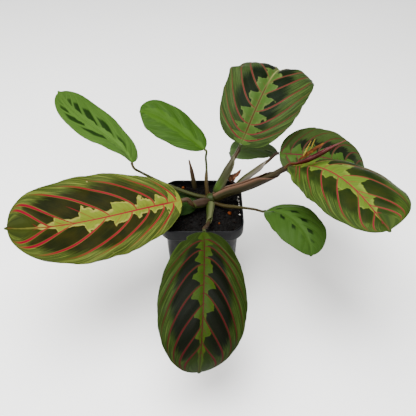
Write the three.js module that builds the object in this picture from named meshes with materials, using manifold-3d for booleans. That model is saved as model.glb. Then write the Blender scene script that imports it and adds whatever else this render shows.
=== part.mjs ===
// Potted prayer plant: a square pot of soil with a crown of stalks and broad oval leaves.
// Millimetres, +Z up. The origin is the centre of the pot's flat base, and the front is -Y.

import * as THREE from 'three';
import { mergeVertices } from 'three/addons/utils/BufferGeometryUtils.js';
import Module from 'manifold-3d';

const wasm = await Module();
wasm.setup();

// Clearance that touching pieces keep
const GAP = 0.3;

// Pot: half sides and corner radii of its square sections
const POT_HEIGHT = 80;
const RIM_HALF = 35;
const RIM_RADIUS = 13;
const RIM_BAND = 10;
const BODY_HALF_TOP = 30.4;
const BODY_HALF_BASE = 27.6;
const BODY_RADIUS = 10;
const WALL = 1.4;
const FLOOR = 1.8;
const EDGE = 0.7;
const CORNER_STEPS = 6;
const DRAIN_RADIUS = 3;
const DRAIN_PLACE = 17;

// Soil: its level, the rise of its middle and the size of its crumbs
const SOIL_LEVEL = 75.5;
const SOIL_RISE = 2;
const CRUMB_HEIGHT = 0.7;
const CRUMB_PITCH = 6;
const SOIL_RINGS = 7;
const PELLET_RADIUS = 1.7;
const PELLET_PLACES = [[23.5, -7.5], [-17.5, 28], [14.5, -20.5]];

// Blades
const BLADE_THICKNESS = 0.7;
const BLADE_ROOT = 1.3;
const TIP_WIDTH = 1.6;
const TIP_SHARE = 0.03;
const OVAL_END = 0.985;

// Stalks
const STALK_SIDES = 8;
const STEM_SIDES = 12;
const TURN_LENGTH = 5;

const POT_LOOK = { color: 0x1b1c1f, roughness: 0.45, metalness: 0 };
const SOIL_LOOK = { color: 0x14110f, roughness: 0.95, metalness: 0 };
const STALK_LOOK = { color: 0x6d6d3f, roughness: 0.55, metalness: 0 };
const SHEATH_LOOK = { color: 0x8a7a70, roughness: 0.55, metalness: 0 };
const OLIVE_LEAF_LOOK = { color: 0x6b7a2e, roughness: 0.5, metalness: 0 };
const GREEN_LEAF_LOOK = { color: 0x3f6428, roughness: 0.5, metalness: 0 };
const YOUNG_LEAF_LOOK = { color: 0x568438, roughness: 0.5, metalness: 0 };
const ROLLED_LOOK = { color: 0x5a1f28, roughness: 0.45, metalness: 0 };
const DRY_LOOK = { color: 0x9a5a38, roughness: 0.8, metalness: 0 };

// Leaves. Each spine is a cubic Bezier from the blade's root to its tip. half is the greatest half
// width, ease moves the widest place along the spine and blunt sets how round the ends are. roll is
// the turn about the spine at root and tip, fold the rise of each half from the midrib and curl its
// bend down to the margin, in degrees. extra adds curl to the left half, and wide widens it.
const LEAVES = {
  left: {
    look: OLIVE_LEAF_LOOK, rows: 22, columns: 5,
    spine: [[-17, -12, 94], [-61, -28, 97], [-100, -53, 98], [-140, -69, 115]],
    half: 39.5, ease: 1.2, blunt: 0.41, roll: [-24, -18], fold: 14, curl: 14, wave: 1.1, waves: 4,
  },
  front: {
    look: GREEN_LEAF_LOOK, rows: 22, columns: 5,
    spine: [[2.3, -48.5, 92.5], [2.9, -97, 95], [2, -145, 88], [-1, -142, 47]],
    half: 32.5, ease: 0.96, blunt: 0.47, roll: [-1, -13], fold: 1, curl: 25, wave: 1, waves: 4.5,
  },
  back: {
    look: GREEN_LEAF_LOOK, rows: 24, columns: 5,
    spine: [[33, 27, 124], [50, 46, 164], [68, 86, 187], [79, 109, 140]],
    half: 38, ease: 0.94, blunt: 0.39, roll: [8, 1], fold: 7, curl: 30, wave: 1, waves: 4,
  },
  rear_right: {
    look: GREEN_LEAF_LOOK, rows: 18, columns: 4,
    spine: [[66, 24, 116.5], [94, 19, 118.5], [123, 26, 111.5], [146.5, 32, 86.5]],
    half: 30, ease: 0.98, blunt: 0.43, roll: [26, 26], fold: 7, curl: 14, wave: 0.8, waves: 3.5,
  },
  right: {
    look: OLIVE_LEAF_LOOK, rows: 22, columns: 5,
    spine: [[73, -2, 121], [102, -13, 137], [113.5, -56.5, 137], [126, -88.5, 129.5]],
    half: 35, ease: 0.86, blunt: 0.49, roll: [-6, 21], fold: 11, curl: 18, extra: 38, wide: 1.24,
    wave: 0.8, waves: 4,
  },
  far_left: {
    look: YOUNG_LEAF_LOOK, rows: 16, columns: 3,
    spine: [[-59, 14, 114], [-70, 33, 129], [-105, 31, 142], [-116, 39, 167]],
    half: 20, ease: 0.92, blunt: 0.46, roll: [23, -19], fold: 17, curl: 17, wave: 0.7, waves: 3,
  },
  upper: {
    look: YOUNG_LEAF_LOOK, rows: 16, columns: 3,
    spine: [[2, 25, 120], [-20, 41, 130], [-40, 52, 144], [-54, 51, 141]],
    half: 19, ease: 1.02, blunt: 0.46, roll: [-11, -20], fold: 10, curl: 30, wave: 0.6, waves: 3,
  },
  small_right: {
    look: YOUNG_LEAF_LOOK, rows: 16, columns: 3,
    spine: [[51, -31, 99], [66, -41, 111], [81, -67, 110], [80, -76, 94]],
    half: 19, ease: 1.06, blunt: 0.52, roll: [5, 4], fold: 6, curl: 22, wave: 0.6, waves: 3,
  },
  behind: {
    look: YOUNG_LEAF_LOOK, rows: 14, columns: 3,
    spine: [[25, 45, 104], [37, 44, 108], [53, 52, 107], [70, 54, 97]],
    half: 15, ease: 0.89, blunt: 0.45, roll: [9, 2], fold: 9, curl: 19, wave: 0.5, waves: 3,
  },
  under: {
    look: YOUNG_LEAF_LOOK, rows: 14, columns: 3,
    spine: [[-4.6, 1, 82], [-20, -2, 84.5], [-38, -6, 86], [-52, -10, 83.5]],
    half: 16, ease: 0.95, blunt: 0.37, roll: [-8, -8], fold: 4, curl: 12, wave: 0.4, waves: 3,
  },
};

// The dry bract and the dry curled leaf are narrow blades of the same kind
const BRACT = {
  rows: 8, columns: 2,
  spine: [[75.9, -8.8, 132.4], [79.4, -10, 138.2], [86.3, -9.5, 143.4], [93.4, -9, 148.3]],
  half: 2.6, ease: 1, blunt: 0.5, roll: [30, 20], fold: 0, curl: 30, wave: 0, waves: 1,
};
const DRY_LEAF = {
  rows: 10, columns: 2,
  spine: [[27, 6.9, 97.2], [20, 8.5, 100], [28, 11, 101], [33.2, 10, 109.8]],
  half: 3.4, ease: 0.8, blunt: 0.6, roll: [10, -20], fold: 0, curl: 50, wave: 0.3, waves: 2,
};

// Stalks. path starts inside the crown or the stem that bears the stalk and stops short of the
// blade, and radii are pairs of a share of the length and a radius.
const CROWN = { foot: [7.5, 4.5, 60], radii: [[60, 3.5], [74, 4.6], [80, 5.4], [84, 4.8], [87, 2.6]] };
const MAIN_STEM = {
  leaf: 'right',
  path: [[8, 4.5, 82.5], [22, 3.5, 91.7], [36, 1.5, 98.6], [56, -1, 111]],
  radii: [[0, 4.4], [0.45, 4.2], [0.85, 3.1], [0.96, 1.8], [1, 1.6]],
};
const STALKS = {
  left: {
    look: SHEATH_LOOK, path: [[6, 2.5, 81.5], [-1.6, -5, 85.5], [-8.2, -10, 88.8]],
    radii: [[0, 3], [0.3, 3.6], [0.55, 3], [0.7, 2], [1, 1.7]],
  },
  front: {
    look: SHEATH_LOOK, path: [[7.5, 2, 82], [6.6, -14, 82.8], [5.8, -28, 85.3], [4.2, -37, 88.6]],
    radii: [[0, 3.4], [0.25, 3.5], [0.58, 1.9], [0.75, 1.6], [1, 1.6]], turn: 4,
  },
  back: {
    look: STALK_LOOK,
    path: [[9, 5, 84], [12.9, 6, 90.1], [17, 8, 99.3], [22, 12, 108.4], [27.3, 18.5, 115.6]],
    radii: [[0, 2.6], [0.2, 3.6], [0.5, 3.2], [0.72, 2.3], [0.85, 1.7], [1, 1.5]],
  },
  rear_right: {
    look: STALK_LOOK, path: [[26, 3.5, 94], [34, 8.5, 99.5], [44.5, 14, 105], [55, 19.5, 110.5]],
    radii: [[0, 1.8], [0.3, 2.2], [0.6, 2], [0.78, 1.3], [1, 1.3]], turn: 2,
  },
  far_left: {
    look: STALK_LOOK, path: [[5, 5, 83], [-6, 5.3, 86], [-19, 7, 90.3], [-36, 9.5, 97.6], [-52.3, 11.5, 106.3]],
    radii: [[0, 1.9], [0.35, 1.6], [0.6, 1.1], [1, 1.1]],
  },
  upper: {
    look: STALK_LOOK, path: [[5, 6.5, 82], [3.7, 12, 95.2], [3.9, 18.5, 105.3], [3.3, 22.7, 113]],
    radii: [[0, 1.8], [0.4, 1.6], [0.6, 1], [1, 1]], turn: 2,
  },
  small_right: {
    look: STALK_LOOK, path: [[8.5, 3, 80.5], [17.1, -3, 81.4], [31.7, -14, 88.4], [43, -24, 94.7]],
    radii: [[0, 1.7], [0.3, 1.6], [0.6, 1.1], [1, 1]], turn: 3,
  },
  behind: {
    look: STALK_LOOK, path: [[8.5, 8, 83], [14.8, 18, 87], [20.8, 30, 91.6], [24.4, 40, 98.5]],
    radii: [[0, 1.4], [0.5, 1.1], [1, 1]], turn: 1.5,
  },
  under: {
    look: STALK_LOOK, path: [[5, 3.5, 80.2]],
    radii: [[0, 1.3], [1, 1.1]], turn: 3,
  },
};
const ROLLED_LEAF = {
  path: [[66.5, -0.8, 117.6], [69.8, -2.6, 124], [75, -7.8, 128.4], [81, -9.5, 132.3], [88, -9.5, 136.2],
    [98.6, -9, 143.2], [109.9, -8, 149.8]],
  radii: [[0, 0.9], [0.25, 1.1], [0.45, 2.2], [0.65, 2], [1, 0.4]],
};
const DRY_SPIKE = {
  path: [[-6.6, 28.3, 72.5], [-7.1, 28.8, 77.6], [-9.7, 30.2, 95], [-11.5, 31, 104.9]],
  radii: [[0, 1.8], [0.3, 2], [0.6, 1.5], [1, 0.3]],
};

// Triangles with shared corners from rows of points: each ring joins the next, and a fan closes
// both ends on the given points
function loft(rings, first, last) {
  const count = rings[0].length;
  const points = rings.flat();
  const faces = [];
  for (let row = 0; row + 1 < rings.length; row += 1) {
    for (let i = 0; i < count; i += 1) {
      const j = (i + 1) % count;
      const a = row * count + i;
      const b = row * count + j;
      faces.push(a, b, b + count, a, b + count, a + count);
    }
  }
  const top = (rings.length - 1) * count;
  points.push(first, last);
  for (let i = 0; i < count; i += 1) {
    const j = (i + 1) % count;
    faces.push(j, i, points.length - 2, top + i, top + j, points.length - 1);
  }
  return closedGeometry(points, faces);
}

function closedGeometry(points, faces) {
  const geometry = new THREE.BufferGeometry().setFromPoints(points);
  geometry.setIndex(faces);
  return geometry;
}

function solidFrom(geometry) {
  const bare = geometry.clone();
  bare.deleteAttribute('normal');
  bare.deleteAttribute('uv');
  const merged = mergeVertices(bare, 1e-4);
  return new wasm.Manifold(new wasm.Mesh({
    numProp: 3,
    vertProperties: new Float32Array(merged.attributes.position.array),
    triVerts: new Uint32Array(merged.index.array),
  }));
}

function geometryFrom(solid) {
  const mesh = solid.getMesh();
  const geometry = new THREE.BufferGeometry();
  geometry.setAttribute('position', new THREE.BufferAttribute(mesh.vertProperties, 3));
  geometry.setIndex(new THREE.BufferAttribute(mesh.triVerts, 1));
  return geometry;
}

// One section of the pot: a square with round corners, counter-clockwise from above
function squareRing(half, radius, z) {
  const middle = half - radius;
  const ring = [];
  for (let corner = 0; corner < 4; corner += 1) {
    for (let step = 0; step <= CORNER_STEPS; step += 1) {
      const angle = (corner + step / CORNER_STEPS) * Math.PI / 2;
      const turn = (corner + 0.5) * Math.PI / 2;
      const x = Math.sign(Math.round(Math.cos(turn) * 2)) * middle + radius * Math.cos(angle);
      const y = Math.sign(Math.round(Math.sin(turn) * 2)) * middle + radius * Math.sin(angle);
      ring.push(new THREE.Vector3(x, y, z));
    }
  }
  return ring;
}

function squareLoft(levels) {
  const rings = levels.map(([half, radius, z]) => squareRing(half, radius, z));
  const bottom = new THREE.Vector3(0, 0, levels[0][2]);
  const top = new THREE.Vector3(0, 0, levels[levels.length - 1][2]);
  return loft(rings, bottom, top);
}

function potGeometry() {
  const band = POT_HEIGHT - RIM_BAND;
  const shell = squareLoft([
    [BODY_HALF_BASE - EDGE, BODY_RADIUS, 0],
    [BODY_HALF_BASE, BODY_RADIUS, EDGE],
    [BODY_HALF_TOP, BODY_RADIUS, band],
    [RIM_HALF - 1, RIM_RADIUS, band],
    [RIM_HALF - 0.3, RIM_RADIUS, band + EDGE],
    [RIM_HALF, RIM_RADIUS, POT_HEIGHT - EDGE],
    [RIM_HALF - EDGE / 2, RIM_RADIUS, POT_HEIGHT],
    [RIM_HALF - WALL + 0.2, RIM_RADIUS - WALL, POT_HEIGHT],
    [RIM_HALF - WALL, RIM_RADIUS - WALL, POT_HEIGHT - EDGE],
    [RIM_HALF - 0.3 - WALL, RIM_RADIUS - WALL, band + WALL],
    [BODY_HALF_TOP - WALL, BODY_RADIUS - WALL, band + WALL],
    [BODY_HALF_BASE - WALL, BODY_RADIUS - WALL, FLOOR],
  ]);
  let pot = solidFrom(shell);
  for (const x of [-DRAIN_PLACE, DRAIN_PLACE]) {
    for (const y of [-DRAIN_PLACE, DRAIN_PLACE]) {
      const drain = new THREE.CylinderGeometry(DRAIN_RADIUS, DRAIN_RADIUS, 3 * FLOOR, 16);
      drain.rotateX(Math.PI / 2).translate(x, y, 0);
      pot = pot.subtract(solidFrom(drain));
    }
  }
  return geometryFrom(pot);
}

// Height of the crumbs on the soil: a few crossing waves
function crumbs(x, y) {
  const turn = 2 * Math.PI / CRUMB_PITCH;
  const coarse = Math.sin(turn * x + 1.3) * Math.sin(turn * 0.9 * y + 0.4);
  const fine = Math.sin(turn * (1.7 * x + 1.1 * y)) * Math.sin(turn * (1.3 * y - 0.8 * x) + 2);
  return CRUMB_HEIGHT * (0.6 * coarse + 0.4 * fine);
}

function soilHeight(x, y) {
  const half = RIM_HALF - WALL;
  const rise = SOIL_RISE * Math.cos(Math.PI * x / 2 / half) * Math.cos(Math.PI * y / 2 / half);
  return SOIL_LEVEL + rise + crumbs(x, y);
}

function soilGeometry() {
  const step = POT_HEIGHT - RIM_BAND + WALL;
  const top = RIM_HALF - WALL - 0.2 - GAP;
  const inner = RIM_RADIUS - WALL;
  const levels = [
    [BODY_HALF_BASE - WALL - GAP, BODY_RADIUS - WALL, FLOOR + GAP],
    [BODY_HALF_TOP - WALL - 2 * GAP, BODY_RADIUS - WALL, step],
    [BODY_HALF_TOP - WALL - GAP, BODY_RADIUS - WALL, step + GAP],
    [RIM_HALF - 0.3 - WALL - GAP, inner, step + GAP],
    [top, inner, SOIL_LEVEL - 1],
  ];
  for (let ring = 1; ring < SOIL_RINGS; ring += 1) {
    const share = 1 - ring / SOIL_RINGS;
    levels.push([top * share, inner * share, SOIL_LEVEL]);
  }
  const soil = squareLoft(levels);
  const spots = soil.attributes.position;
  for (let i = 0; i < spots.count; i += 1) {
    if (spots.getZ(i) >= SOIL_LEVEL) {
      spots.setZ(i, soilHeight(spots.getX(i), spots.getY(i)));
    }
  }
  let solid = solidFrom(soil);
  for (const [x, y] of PELLET_PLACES) {
    const pellet = new THREE.IcosahedronGeometry(PELLET_RADIUS, 1);
    pellet.translate(x, y, soilHeight(x, y) + PELLET_RADIUS * 0.5);
    solid = solid.add(solidFrom(pellet));
  }
  solid = solid.subtract(crownSolid(GAP));
  return geometryFrom(solid.subtract(tubeSolid(DRY_SPIKE, GAP)));
}

// Radius at a share of the length, straight between the listed pairs
function radiusAt(radii, share) {
  for (let i = 0; i + 1 < radii.length; i += 1) {
    const [from, start] = radii[i];
    const [to, end] = radii[i + 1];
    if (share <= to) {
      return start + (end - start) * Math.max(0, share - from) / (to - from);
    }
  }
  return radii[radii.length - 1][1];
}

// A round stalk along a smooth curve through the points of its path, made thicker by grow
function tubeSolid(stalk, grow = 0, sides = STALK_SIDES) {
  const curve = new THREE.CatmullRomCurve3(stalk.path.map((point) => new THREE.Vector3(...point)));
  const steps = Math.max(6, Math.min(20, Math.round(curve.getLength() / 5)));
  const frames = curve.computeFrenetFrames(steps);
  const rings = [];
  for (let step = 0; step <= steps; step += 1) {
    const radius = radiusAt(stalk.radii, step / steps) + grow;
    const centre = curve.getPointAt(step / steps);
    const ring = [];
    for (let side = 0; side < sides; side += 1) {
      const angle = 2 * Math.PI * side / sides;
      ring.push(centre.clone()
        .addScaledVector(frames.normals[step], radius * Math.cos(angle))
        .addScaledVector(frames.binormals[step], radius * Math.sin(angle)));
    }
    rings.push(ring);
  }
  return solidFrom(loft(rings, curve.getPointAt(0), curve.getPointAt(1)));
}

// The knob of old stalk feet that stands in the soil
function crownSolid(grow = 0) {
  const [x, y] = CROWN.foot;
  const rings = CROWN.radii.map(([z, radius], level) => {
    const ring = [];
    for (let side = 0; side < STEM_SIDES; side += 1) {
      const angle = 2 * Math.PI * side / STEM_SIDES;
      const reach = radius + grow;
      const rise = level === 0 ? -grow : level === CROWN.radii.length - 1 ? grow : 0;
      ring.push(new THREE.Vector3(x + reach * Math.cos(angle), y + reach * Math.sin(angle), z + rise));
    }
    return ring;
  });
  const foot = new THREE.Vector3(x, y, rings[0][0].z);
  const head = new THREE.Vector3(x, y, rings[rings.length - 1][0].z);
  return solidFrom(loft(rings, foot, head));
}

// A stalk's path goes on to its blade: it turns into the spine's line and ends GAP before the root
function toBlade(stalk, leaf) {
  const root = new THREE.Vector3(...leaf.spine[0]);
  const along = new THREE.Vector3(...leaf.spine[1]).sub(root).normalize();
  const end = root.clone().addScaledVector(along, -GAP);
  const turn = end.clone().addScaledVector(along, -(stalk.turn ?? TURN_LENGTH));
  return { ...stalk, path: [...stalk.path, turn.toArray(), end.toArray()] };
}

// Half width of a blade at a share of its spine
function halfWidth(leaf, share) {
  const s = Math.min(1, share / OVAL_END) ** leaf.ease;
  const oval = leaf.half * Math.max(0, 4 * s * (1 - s)) ** leaf.blunt;
  const nib = TIP_WIDTH * Math.min(1, (1 - share) / TIP_SHARE) + 0.4;
  const root = BLADE_ROOT * Math.max(0, 1 - share / TIP_SHARE);
  return Math.max(oval, nib, root);
}

// The middle of a blade and its normal, at a share of the spine and across from -1 to 1
function bladePoint(leaf, share, across) {
  const [root, , , tip] = leaf.spine;
  const spine = new THREE.CubicBezierCurve3(...leaf.spine.map((point) => new THREE.Vector3(...point)));
  const along = spine.getTangent(share);
  const heading = Math.atan2(tip[1] - root[1], tip[0] - root[0]);
  const aside = new THREE.Vector3(-Math.sin(heading), Math.cos(heading), 0);
  aside.addScaledVector(along, -aside.dot(along)).normalize();
  const up = new THREE.Vector3().crossVectors(along, aside);
  const roll = THREE.MathUtils.degToRad(leaf.roll[0] + (leaf.roll[1] - leaf.roll[0]) * share);
  const left = aside.clone().multiplyScalar(Math.cos(roll)).addScaledVector(up, Math.sin(roll));
  const rise = up.clone().multiplyScalar(Math.cos(roll)).addScaledVector(aside, -Math.sin(roll));

  const side = across < 0 ? -1 : 1;
  const wide = side > 0 ? (leaf.wide ?? 1) : 1;
  const run = Math.abs(across) * halfWidth(leaf, share) * wide;
  const curl = THREE.MathUtils.degToRad(leaf.curl + (side > 0 ? (leaf.extra ?? 0) : 0));
  const fold = THREE.MathUtils.degToRad(leaf.fold);
  const bend = Math.max(curl, 1e-4) / leaf.half;
  const slope = fold - bend * run;
  const out = (Math.sin(fold) - Math.sin(slope)) / bend;
  const ripple = Math.sin(2 * Math.PI * leaf.waves * share + side) * across ** 2 * leaf.wave
    * Math.sin(Math.PI * share);
  const height = (Math.cos(slope) - Math.cos(fold)) / bend + ripple;
  const point = spine.getPoint(share)
    .addScaledVector(left, side * out)
    .addScaledVector(rise, height);
  const normal = rise.clone().multiplyScalar(Math.cos(slope))
    .addScaledVector(left, -side * Math.sin(slope));
  return { point, normal: across === 0 ? rise : normal };
}

// A blade as two like grids of triangles, above and below its middle, joined round the margin.
// The rows crowd towards root and tip, where the outline turns fast.
function bladeGeometry(leaf) {
  const columns = 2 * leaf.columns;
  const width = columns + 1;
  const shares = [];
  for (let row = 0; row <= leaf.rows; row += 1) {
    shares.push(OVAL_END * (1 - Math.cos(Math.PI * row / leaf.rows)) / 2);
  }
  shares.push(1);
  const above = [];
  const below = [];
  for (const share of shares) {
    for (let column = 0; column <= columns; column += 1) {
      const { point, normal } = bladePoint(leaf, share, column / leaf.columns - 1);
      above.push(point.clone().addScaledVector(normal, BLADE_THICKNESS / 2));
      below.push(point.clone().addScaledVector(normal, -BLADE_THICKNESS / 2));
    }
  }
  const faces = [];
  const under = above.length;
  for (let row = 0; row + 1 < shares.length; row += 1) {
    for (let column = 0; column < columns; column += 1) {
      const a = row * width + column;
      const [b, c, d] = [a + 1, a + width, a + width + 1];
      faces.push(a, c, d, a, d, b);
      faces.push(under + a, under + d, under + c, under + a, under + b, under + d);
    }
    const [start, next] = [row * width, (row + 1) * width];
    faces.push(start, under + start, under + next, start, under + next, next);
    const [end, after] = [start + columns, next + columns];
    faces.push(end, under + after, under + end, end, after, under + after);
  }
  const last = (shares.length - 1) * width;
  for (let column = 0; column < columns; column += 1) {
    faces.push(column, column + 1, under + column + 1, column, under + column + 1, under + column);
    const tip = last + column;
    faces.push(tip, under + tip + 1, tip + 1, tip, under + tip, under + tip + 1);
  }
  return closedGeometry([...above, ...below], faces);
}

const group = new THREE.Group();

function place(name, geometry, look) {
  geometry.computeVertexNormals();
  const mesh = new THREE.Mesh(geometry, new THREE.MeshStandardMaterial(look));
  mesh.name = name;
  group.add(mesh);
}

place('pot', potGeometry(), POT_LOOK);
place('soil', soilGeometry(), SOIL_LOOK);

const mainStem = toBlade(MAIN_STEM, LEAVES[MAIN_STEM.leaf]);
const stem = crownSolid().add(tubeSolid(mainStem, 0, STEM_SIDES));
place('main_stem', geometryFrom(stem), STALK_LOOK);

// Each stalk is cut back, with the clearance, from the stem and from the stalks before it
const borne = crownSolid(GAP).add(tubeSolid(mainStem, GAP, STEM_SIDES));
let taken = borne;
for (const [name, stalk] of Object.entries(STALKS)) {
  const whole = toBlade(stalk, LEAVES[name]);
  place(`stalk_${name}`, geometryFrom(tubeSolid(whole).subtract(taken)), stalk.look);
  taken = taken.add(tubeSolid(whole, GAP));
}
for (const [name, leaf] of Object.entries(LEAVES)) {
  place(`leaf_${name}`, bladeGeometry(leaf), leaf.look);
}
place('rolled_leaf', geometryFrom(tubeSolid(ROLLED_LEAF).subtract(borne)), ROLLED_LOOK);
place('dry_bract', bladeGeometry(BRACT), DRY_LOOK);
place('dry_leaf', bladeGeometry(DRY_LEAF), DRY_LOOK);
place('dry_spike', geometryFrom(tubeSolid(DRY_SPIKE)), DRY_LOOK);

export default group;
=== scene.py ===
import math
import random
from functools import partial

import bmesh
import bpy
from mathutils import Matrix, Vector, noise


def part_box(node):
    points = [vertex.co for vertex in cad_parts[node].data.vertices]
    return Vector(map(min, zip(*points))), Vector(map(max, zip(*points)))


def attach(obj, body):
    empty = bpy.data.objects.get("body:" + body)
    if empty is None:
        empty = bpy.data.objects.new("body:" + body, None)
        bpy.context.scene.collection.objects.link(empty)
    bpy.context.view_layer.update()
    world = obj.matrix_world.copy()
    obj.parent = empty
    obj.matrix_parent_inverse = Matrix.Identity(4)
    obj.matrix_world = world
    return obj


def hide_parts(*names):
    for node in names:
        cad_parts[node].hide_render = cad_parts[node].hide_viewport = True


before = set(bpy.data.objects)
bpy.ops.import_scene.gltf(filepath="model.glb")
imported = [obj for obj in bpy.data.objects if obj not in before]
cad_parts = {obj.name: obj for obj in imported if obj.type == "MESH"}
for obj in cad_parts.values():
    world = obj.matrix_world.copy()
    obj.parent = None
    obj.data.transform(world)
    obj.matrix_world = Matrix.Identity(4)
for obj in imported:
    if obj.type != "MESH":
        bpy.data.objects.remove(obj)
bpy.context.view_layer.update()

# A potted prayer plant maranta. Every length below is in millimetres, in the frame of the solids,
# and is turned to metres only when a finished mesh is placed.
MM = 0.001
UP = Vector((0, 0, 1))

# The camera stands before the pot and looks down on it.
CAMERA_PLACE = (5.16, -333.1, 356.5)
CAMERA_DOWN = 40.1
CAMERA_FOCUS = 503
PICTURE_WIDTH = 416
SENSOR_WIDTH = 36

# The square nursery pot: half width, corner radius and height of each ring, from the foot up
# the outside, over the rim and down the inside.
POT_RINGS = [
    (26.9, 9.4, 0), (27.6, 10, 0.7), (30.4, 10, 69.6), (30.5, 10, 69.95), (30.8, 10.3, 70),
    (34.2, 12.8, 70), (34.6, 13, 70.2), (34.7, 13, 70.7), (35, 13, 79.2), (34.9, 13, 79.7),
    (34.6, 12.8, 80), (33.9, 12, 80), (33.65, 11.7, 79.8), (33.6, 11.6, 79.3), (33.35, 11.6, 71.8),
    (33, 11.4, 71.45), (29.3, 8.8, 71.4), (29, 8.6, 71), (26.4, 8.6, 2.4), (26.2, 8.6, 1.8),
]
POT_SIDES = 128
DRAIN_RADIUS = 3
DRAIN_PLACE = 17
DRAIN_SIDES = 24

# The soil: its level at the wall, its rise to the middle, the reach of that dome, and the wave of
# its crumbly top. The rings below its edge are given as the pot's are.
SOIL_HALF = 33.3
SOIL_CORNER = 11.4
SOIL_LEVEL = 75.5
SOIL_RISE = 2
SOIL_DOME = 33.6
SOIL_CRUMB = 0.7
SOIL_PITCH = 6
SOIL_CELLS = 130
SOIL_RINGS = [(33.2, 11.4, 72), (29, 8.7, 71), (26.1, 8.6, 2.1)]

# Loose crumbs: how many, how far out they are drawn, and the rounded square that keeps them.
CRUMBS = 620
CRUMB_REACH = 32
CRUMB_STRAIGHT = 21
CRUMB_CORNER = 10.5

# Feed pellets on the soil, and white grains by the inner right wall that stand for glints of
# light, painted highlights: the place and radius of each.
PELLETS = [(23.5, -7.5, 1.7), (-17.5, 28, 1.3), (14.5, -20.5, 0.8), (6.5, 20, 0.7)]
GRAINS = [(32.2, 15.3, 0.8), (32.1, 10, 1.1), (32.2, 5.6, 0.7), (32.3, 2.9, 1.0), (32.3, 0.6, 0.9),
          (32, -4.4, 0.5), (32.1, -8.9, 0.8), (31.2, 12.6, 0.5)]

# A blade: the four points of its spine, half width, where the widest place is (ease), how blunt
# the ends are, turn about the spine at root and tip, upward fold along the midrib, downward curl
# of the sides and waves of the margin. Some blades also have: how much more the left half curls
# (extra) and how much wider it is (wide), how uneven the margin is, a bite out of it (place, side
# and depth), how deep and wide the groove over the midrib is, swells of the face (place along,
# place across, height, length and breadth), and how wide the nib at the ends is.
BLADES = {
    "left": dict(
        spine=[(-17, -12, 94), (-61, -28, 97), (-100, -53, 98), (-140, -69, 115)],
        half=39.5, ease=1.2, blunt=0.41, roll=(-24, -18), fold=14, curl=14, wave=1.1, waves=4),
    "front": dict(
        spine=[(2.3, -48.5, 92.5), (2.9, -97, 95), (2, -145, 88), (-1, -142, 47)],
        half=32.5, ease=0.96, blunt=0.47, roll=(-1, -13), fold=1, curl=25, wave=1, waves=4.5,
        bite=(0.055, -1, 0.2), uneven=0.01),
    "back": dict(
        spine=[(33, 27, 124), (50, 46, 164), (68, 86, 187), (79, 109, 140)],
        half=38, ease=0.94, blunt=0.39, roll=(8, 1), fold=7, curl=30, wave=1, waves=4,
        groove=(1.7, 4), swells=[(0.5, 1, 3.2, 0.06, 0.35), (0.74, -0.55, 2.8, 0.09, 0.3)]),
    "rear_right": dict(
        spine=[(66, 24, 116.5), (94, 19, 118.5), (123, 26, 111.5), (146.5, 32, 86.5)],
        half=30, ease=0.98, blunt=0.43, roll=(26, 26), fold=7, curl=14, wave=0.8, waves=3.5),
    "right": dict(
        spine=[(73, -2, 121), (102, -13, 137), (113.5, -56.5, 137), (126, -88.5, 129.5)],
        half=35, ease=0.86, blunt=0.49, roll=(-6, 21), fold=11, curl=18, wave=0.8, waves=4,
        extra=38, wide=1.24),
    "far_left": dict(
        spine=[(-59, 14, 114), (-70, 33, 129), (-105, 31, 142), (-116, 39, 167)],
        half=20, ease=0.92, blunt=0.46, roll=(23, -19), fold=17, curl=17, wave=0.7, waves=3),
    "upper": dict(
        spine=[(2, 25, 120), (-20, 41, 130), (-40, 52, 144), (-54, 51, 141)],
        half=19, ease=1.02, blunt=0.46, roll=(-11, -20), fold=10, curl=30, wave=0.6, waves=3),
    "small_right": dict(
        spine=[(51, -31, 99), (66, -41, 111), (81, -67, 110), (80, -76, 94)],
        half=19, ease=1.06, blunt=0.52, roll=(5, 4), fold=6, curl=22, wave=0.6, waves=3),
    "behind": dict(
        spine=[(25, 45, 104), (37, 44, 108), (53, 52, 107), (70, 54, 97)],
        half=15, ease=0.89, blunt=0.45, roll=(9, 2), fold=9, curl=19, wave=0.5, waves=3),
    "under": dict(
        spine=[(-4.6, 1, 82), (-20, -2, 84.5), (-38, -6, 86), (-52, -10, 83.5)],
        half=16, ease=0.95, blunt=0.37, roll=(-8, -8), fold=4, curl=12, wave=0.4, waves=3),
}
BRACT = dict(
    spine=[(75.9, -8.8, 132.4), (79.4, -10, 138.2), (86.3, -9.5, 143.4), (93.4, -9, 148.3)],
    half=2.1, ease=1, blunt=0.75, roll=(30, 20), fold=0, curl=70, wave=0.3, waves=3, nib=0.3)
BRACT_SLIVERS = [
    dict(spine=[(78.6, -8.9, 134.4), (79.4, -9.8, 139), (81.4, -9.4, 145), (83.3, -9, 150.2)],
         half=0.7, ease=1, blunt=0.7, roll=(60, 20), fold=0, curl=40, wave=0.2, waves=2, nib=0.15),
    dict(spine=[(83.2, -8.8, 141.2), (84, -9.6, 144), (84.9, -9.3, 148), (86.1, -9, 152)],
         half=0.55, ease=1, blunt=0.7, roll=(20, 50), fold=0, curl=40, wave=0.2, waves=2, nib=0.15),
]
DRY_LEAF = dict(
    spine=[(26, 7, 97.8), (18, 8.5, 100.8), (27.5, 11, 101.6), (33.2, 10, 109.8)],
    half=5.4, ease=0.8, blunt=0.6, roll=(10, -20), fold=0, curl=50, wave=0.5, waves=2, nib=0.3)
BLADE_THICK = 0.5
BLADE_CLEAR = 0.01
OVAL_END = 0.985
NIB_WIDTH = 1.6
NIB_SHARE = 0.03
MARGIN_UNEVEN = 0.035
MARGIN_NICKS = 0.02
BITE_LONG = 0.012
PUCKER = 0.6
MIDRIB_GROOVE = (0.6, 1.6)
BIG_CELLS = (170, 76)
MIDDLE_CELLS = (140, 64)
SMALL_CELLS = (90, 44)

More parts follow.
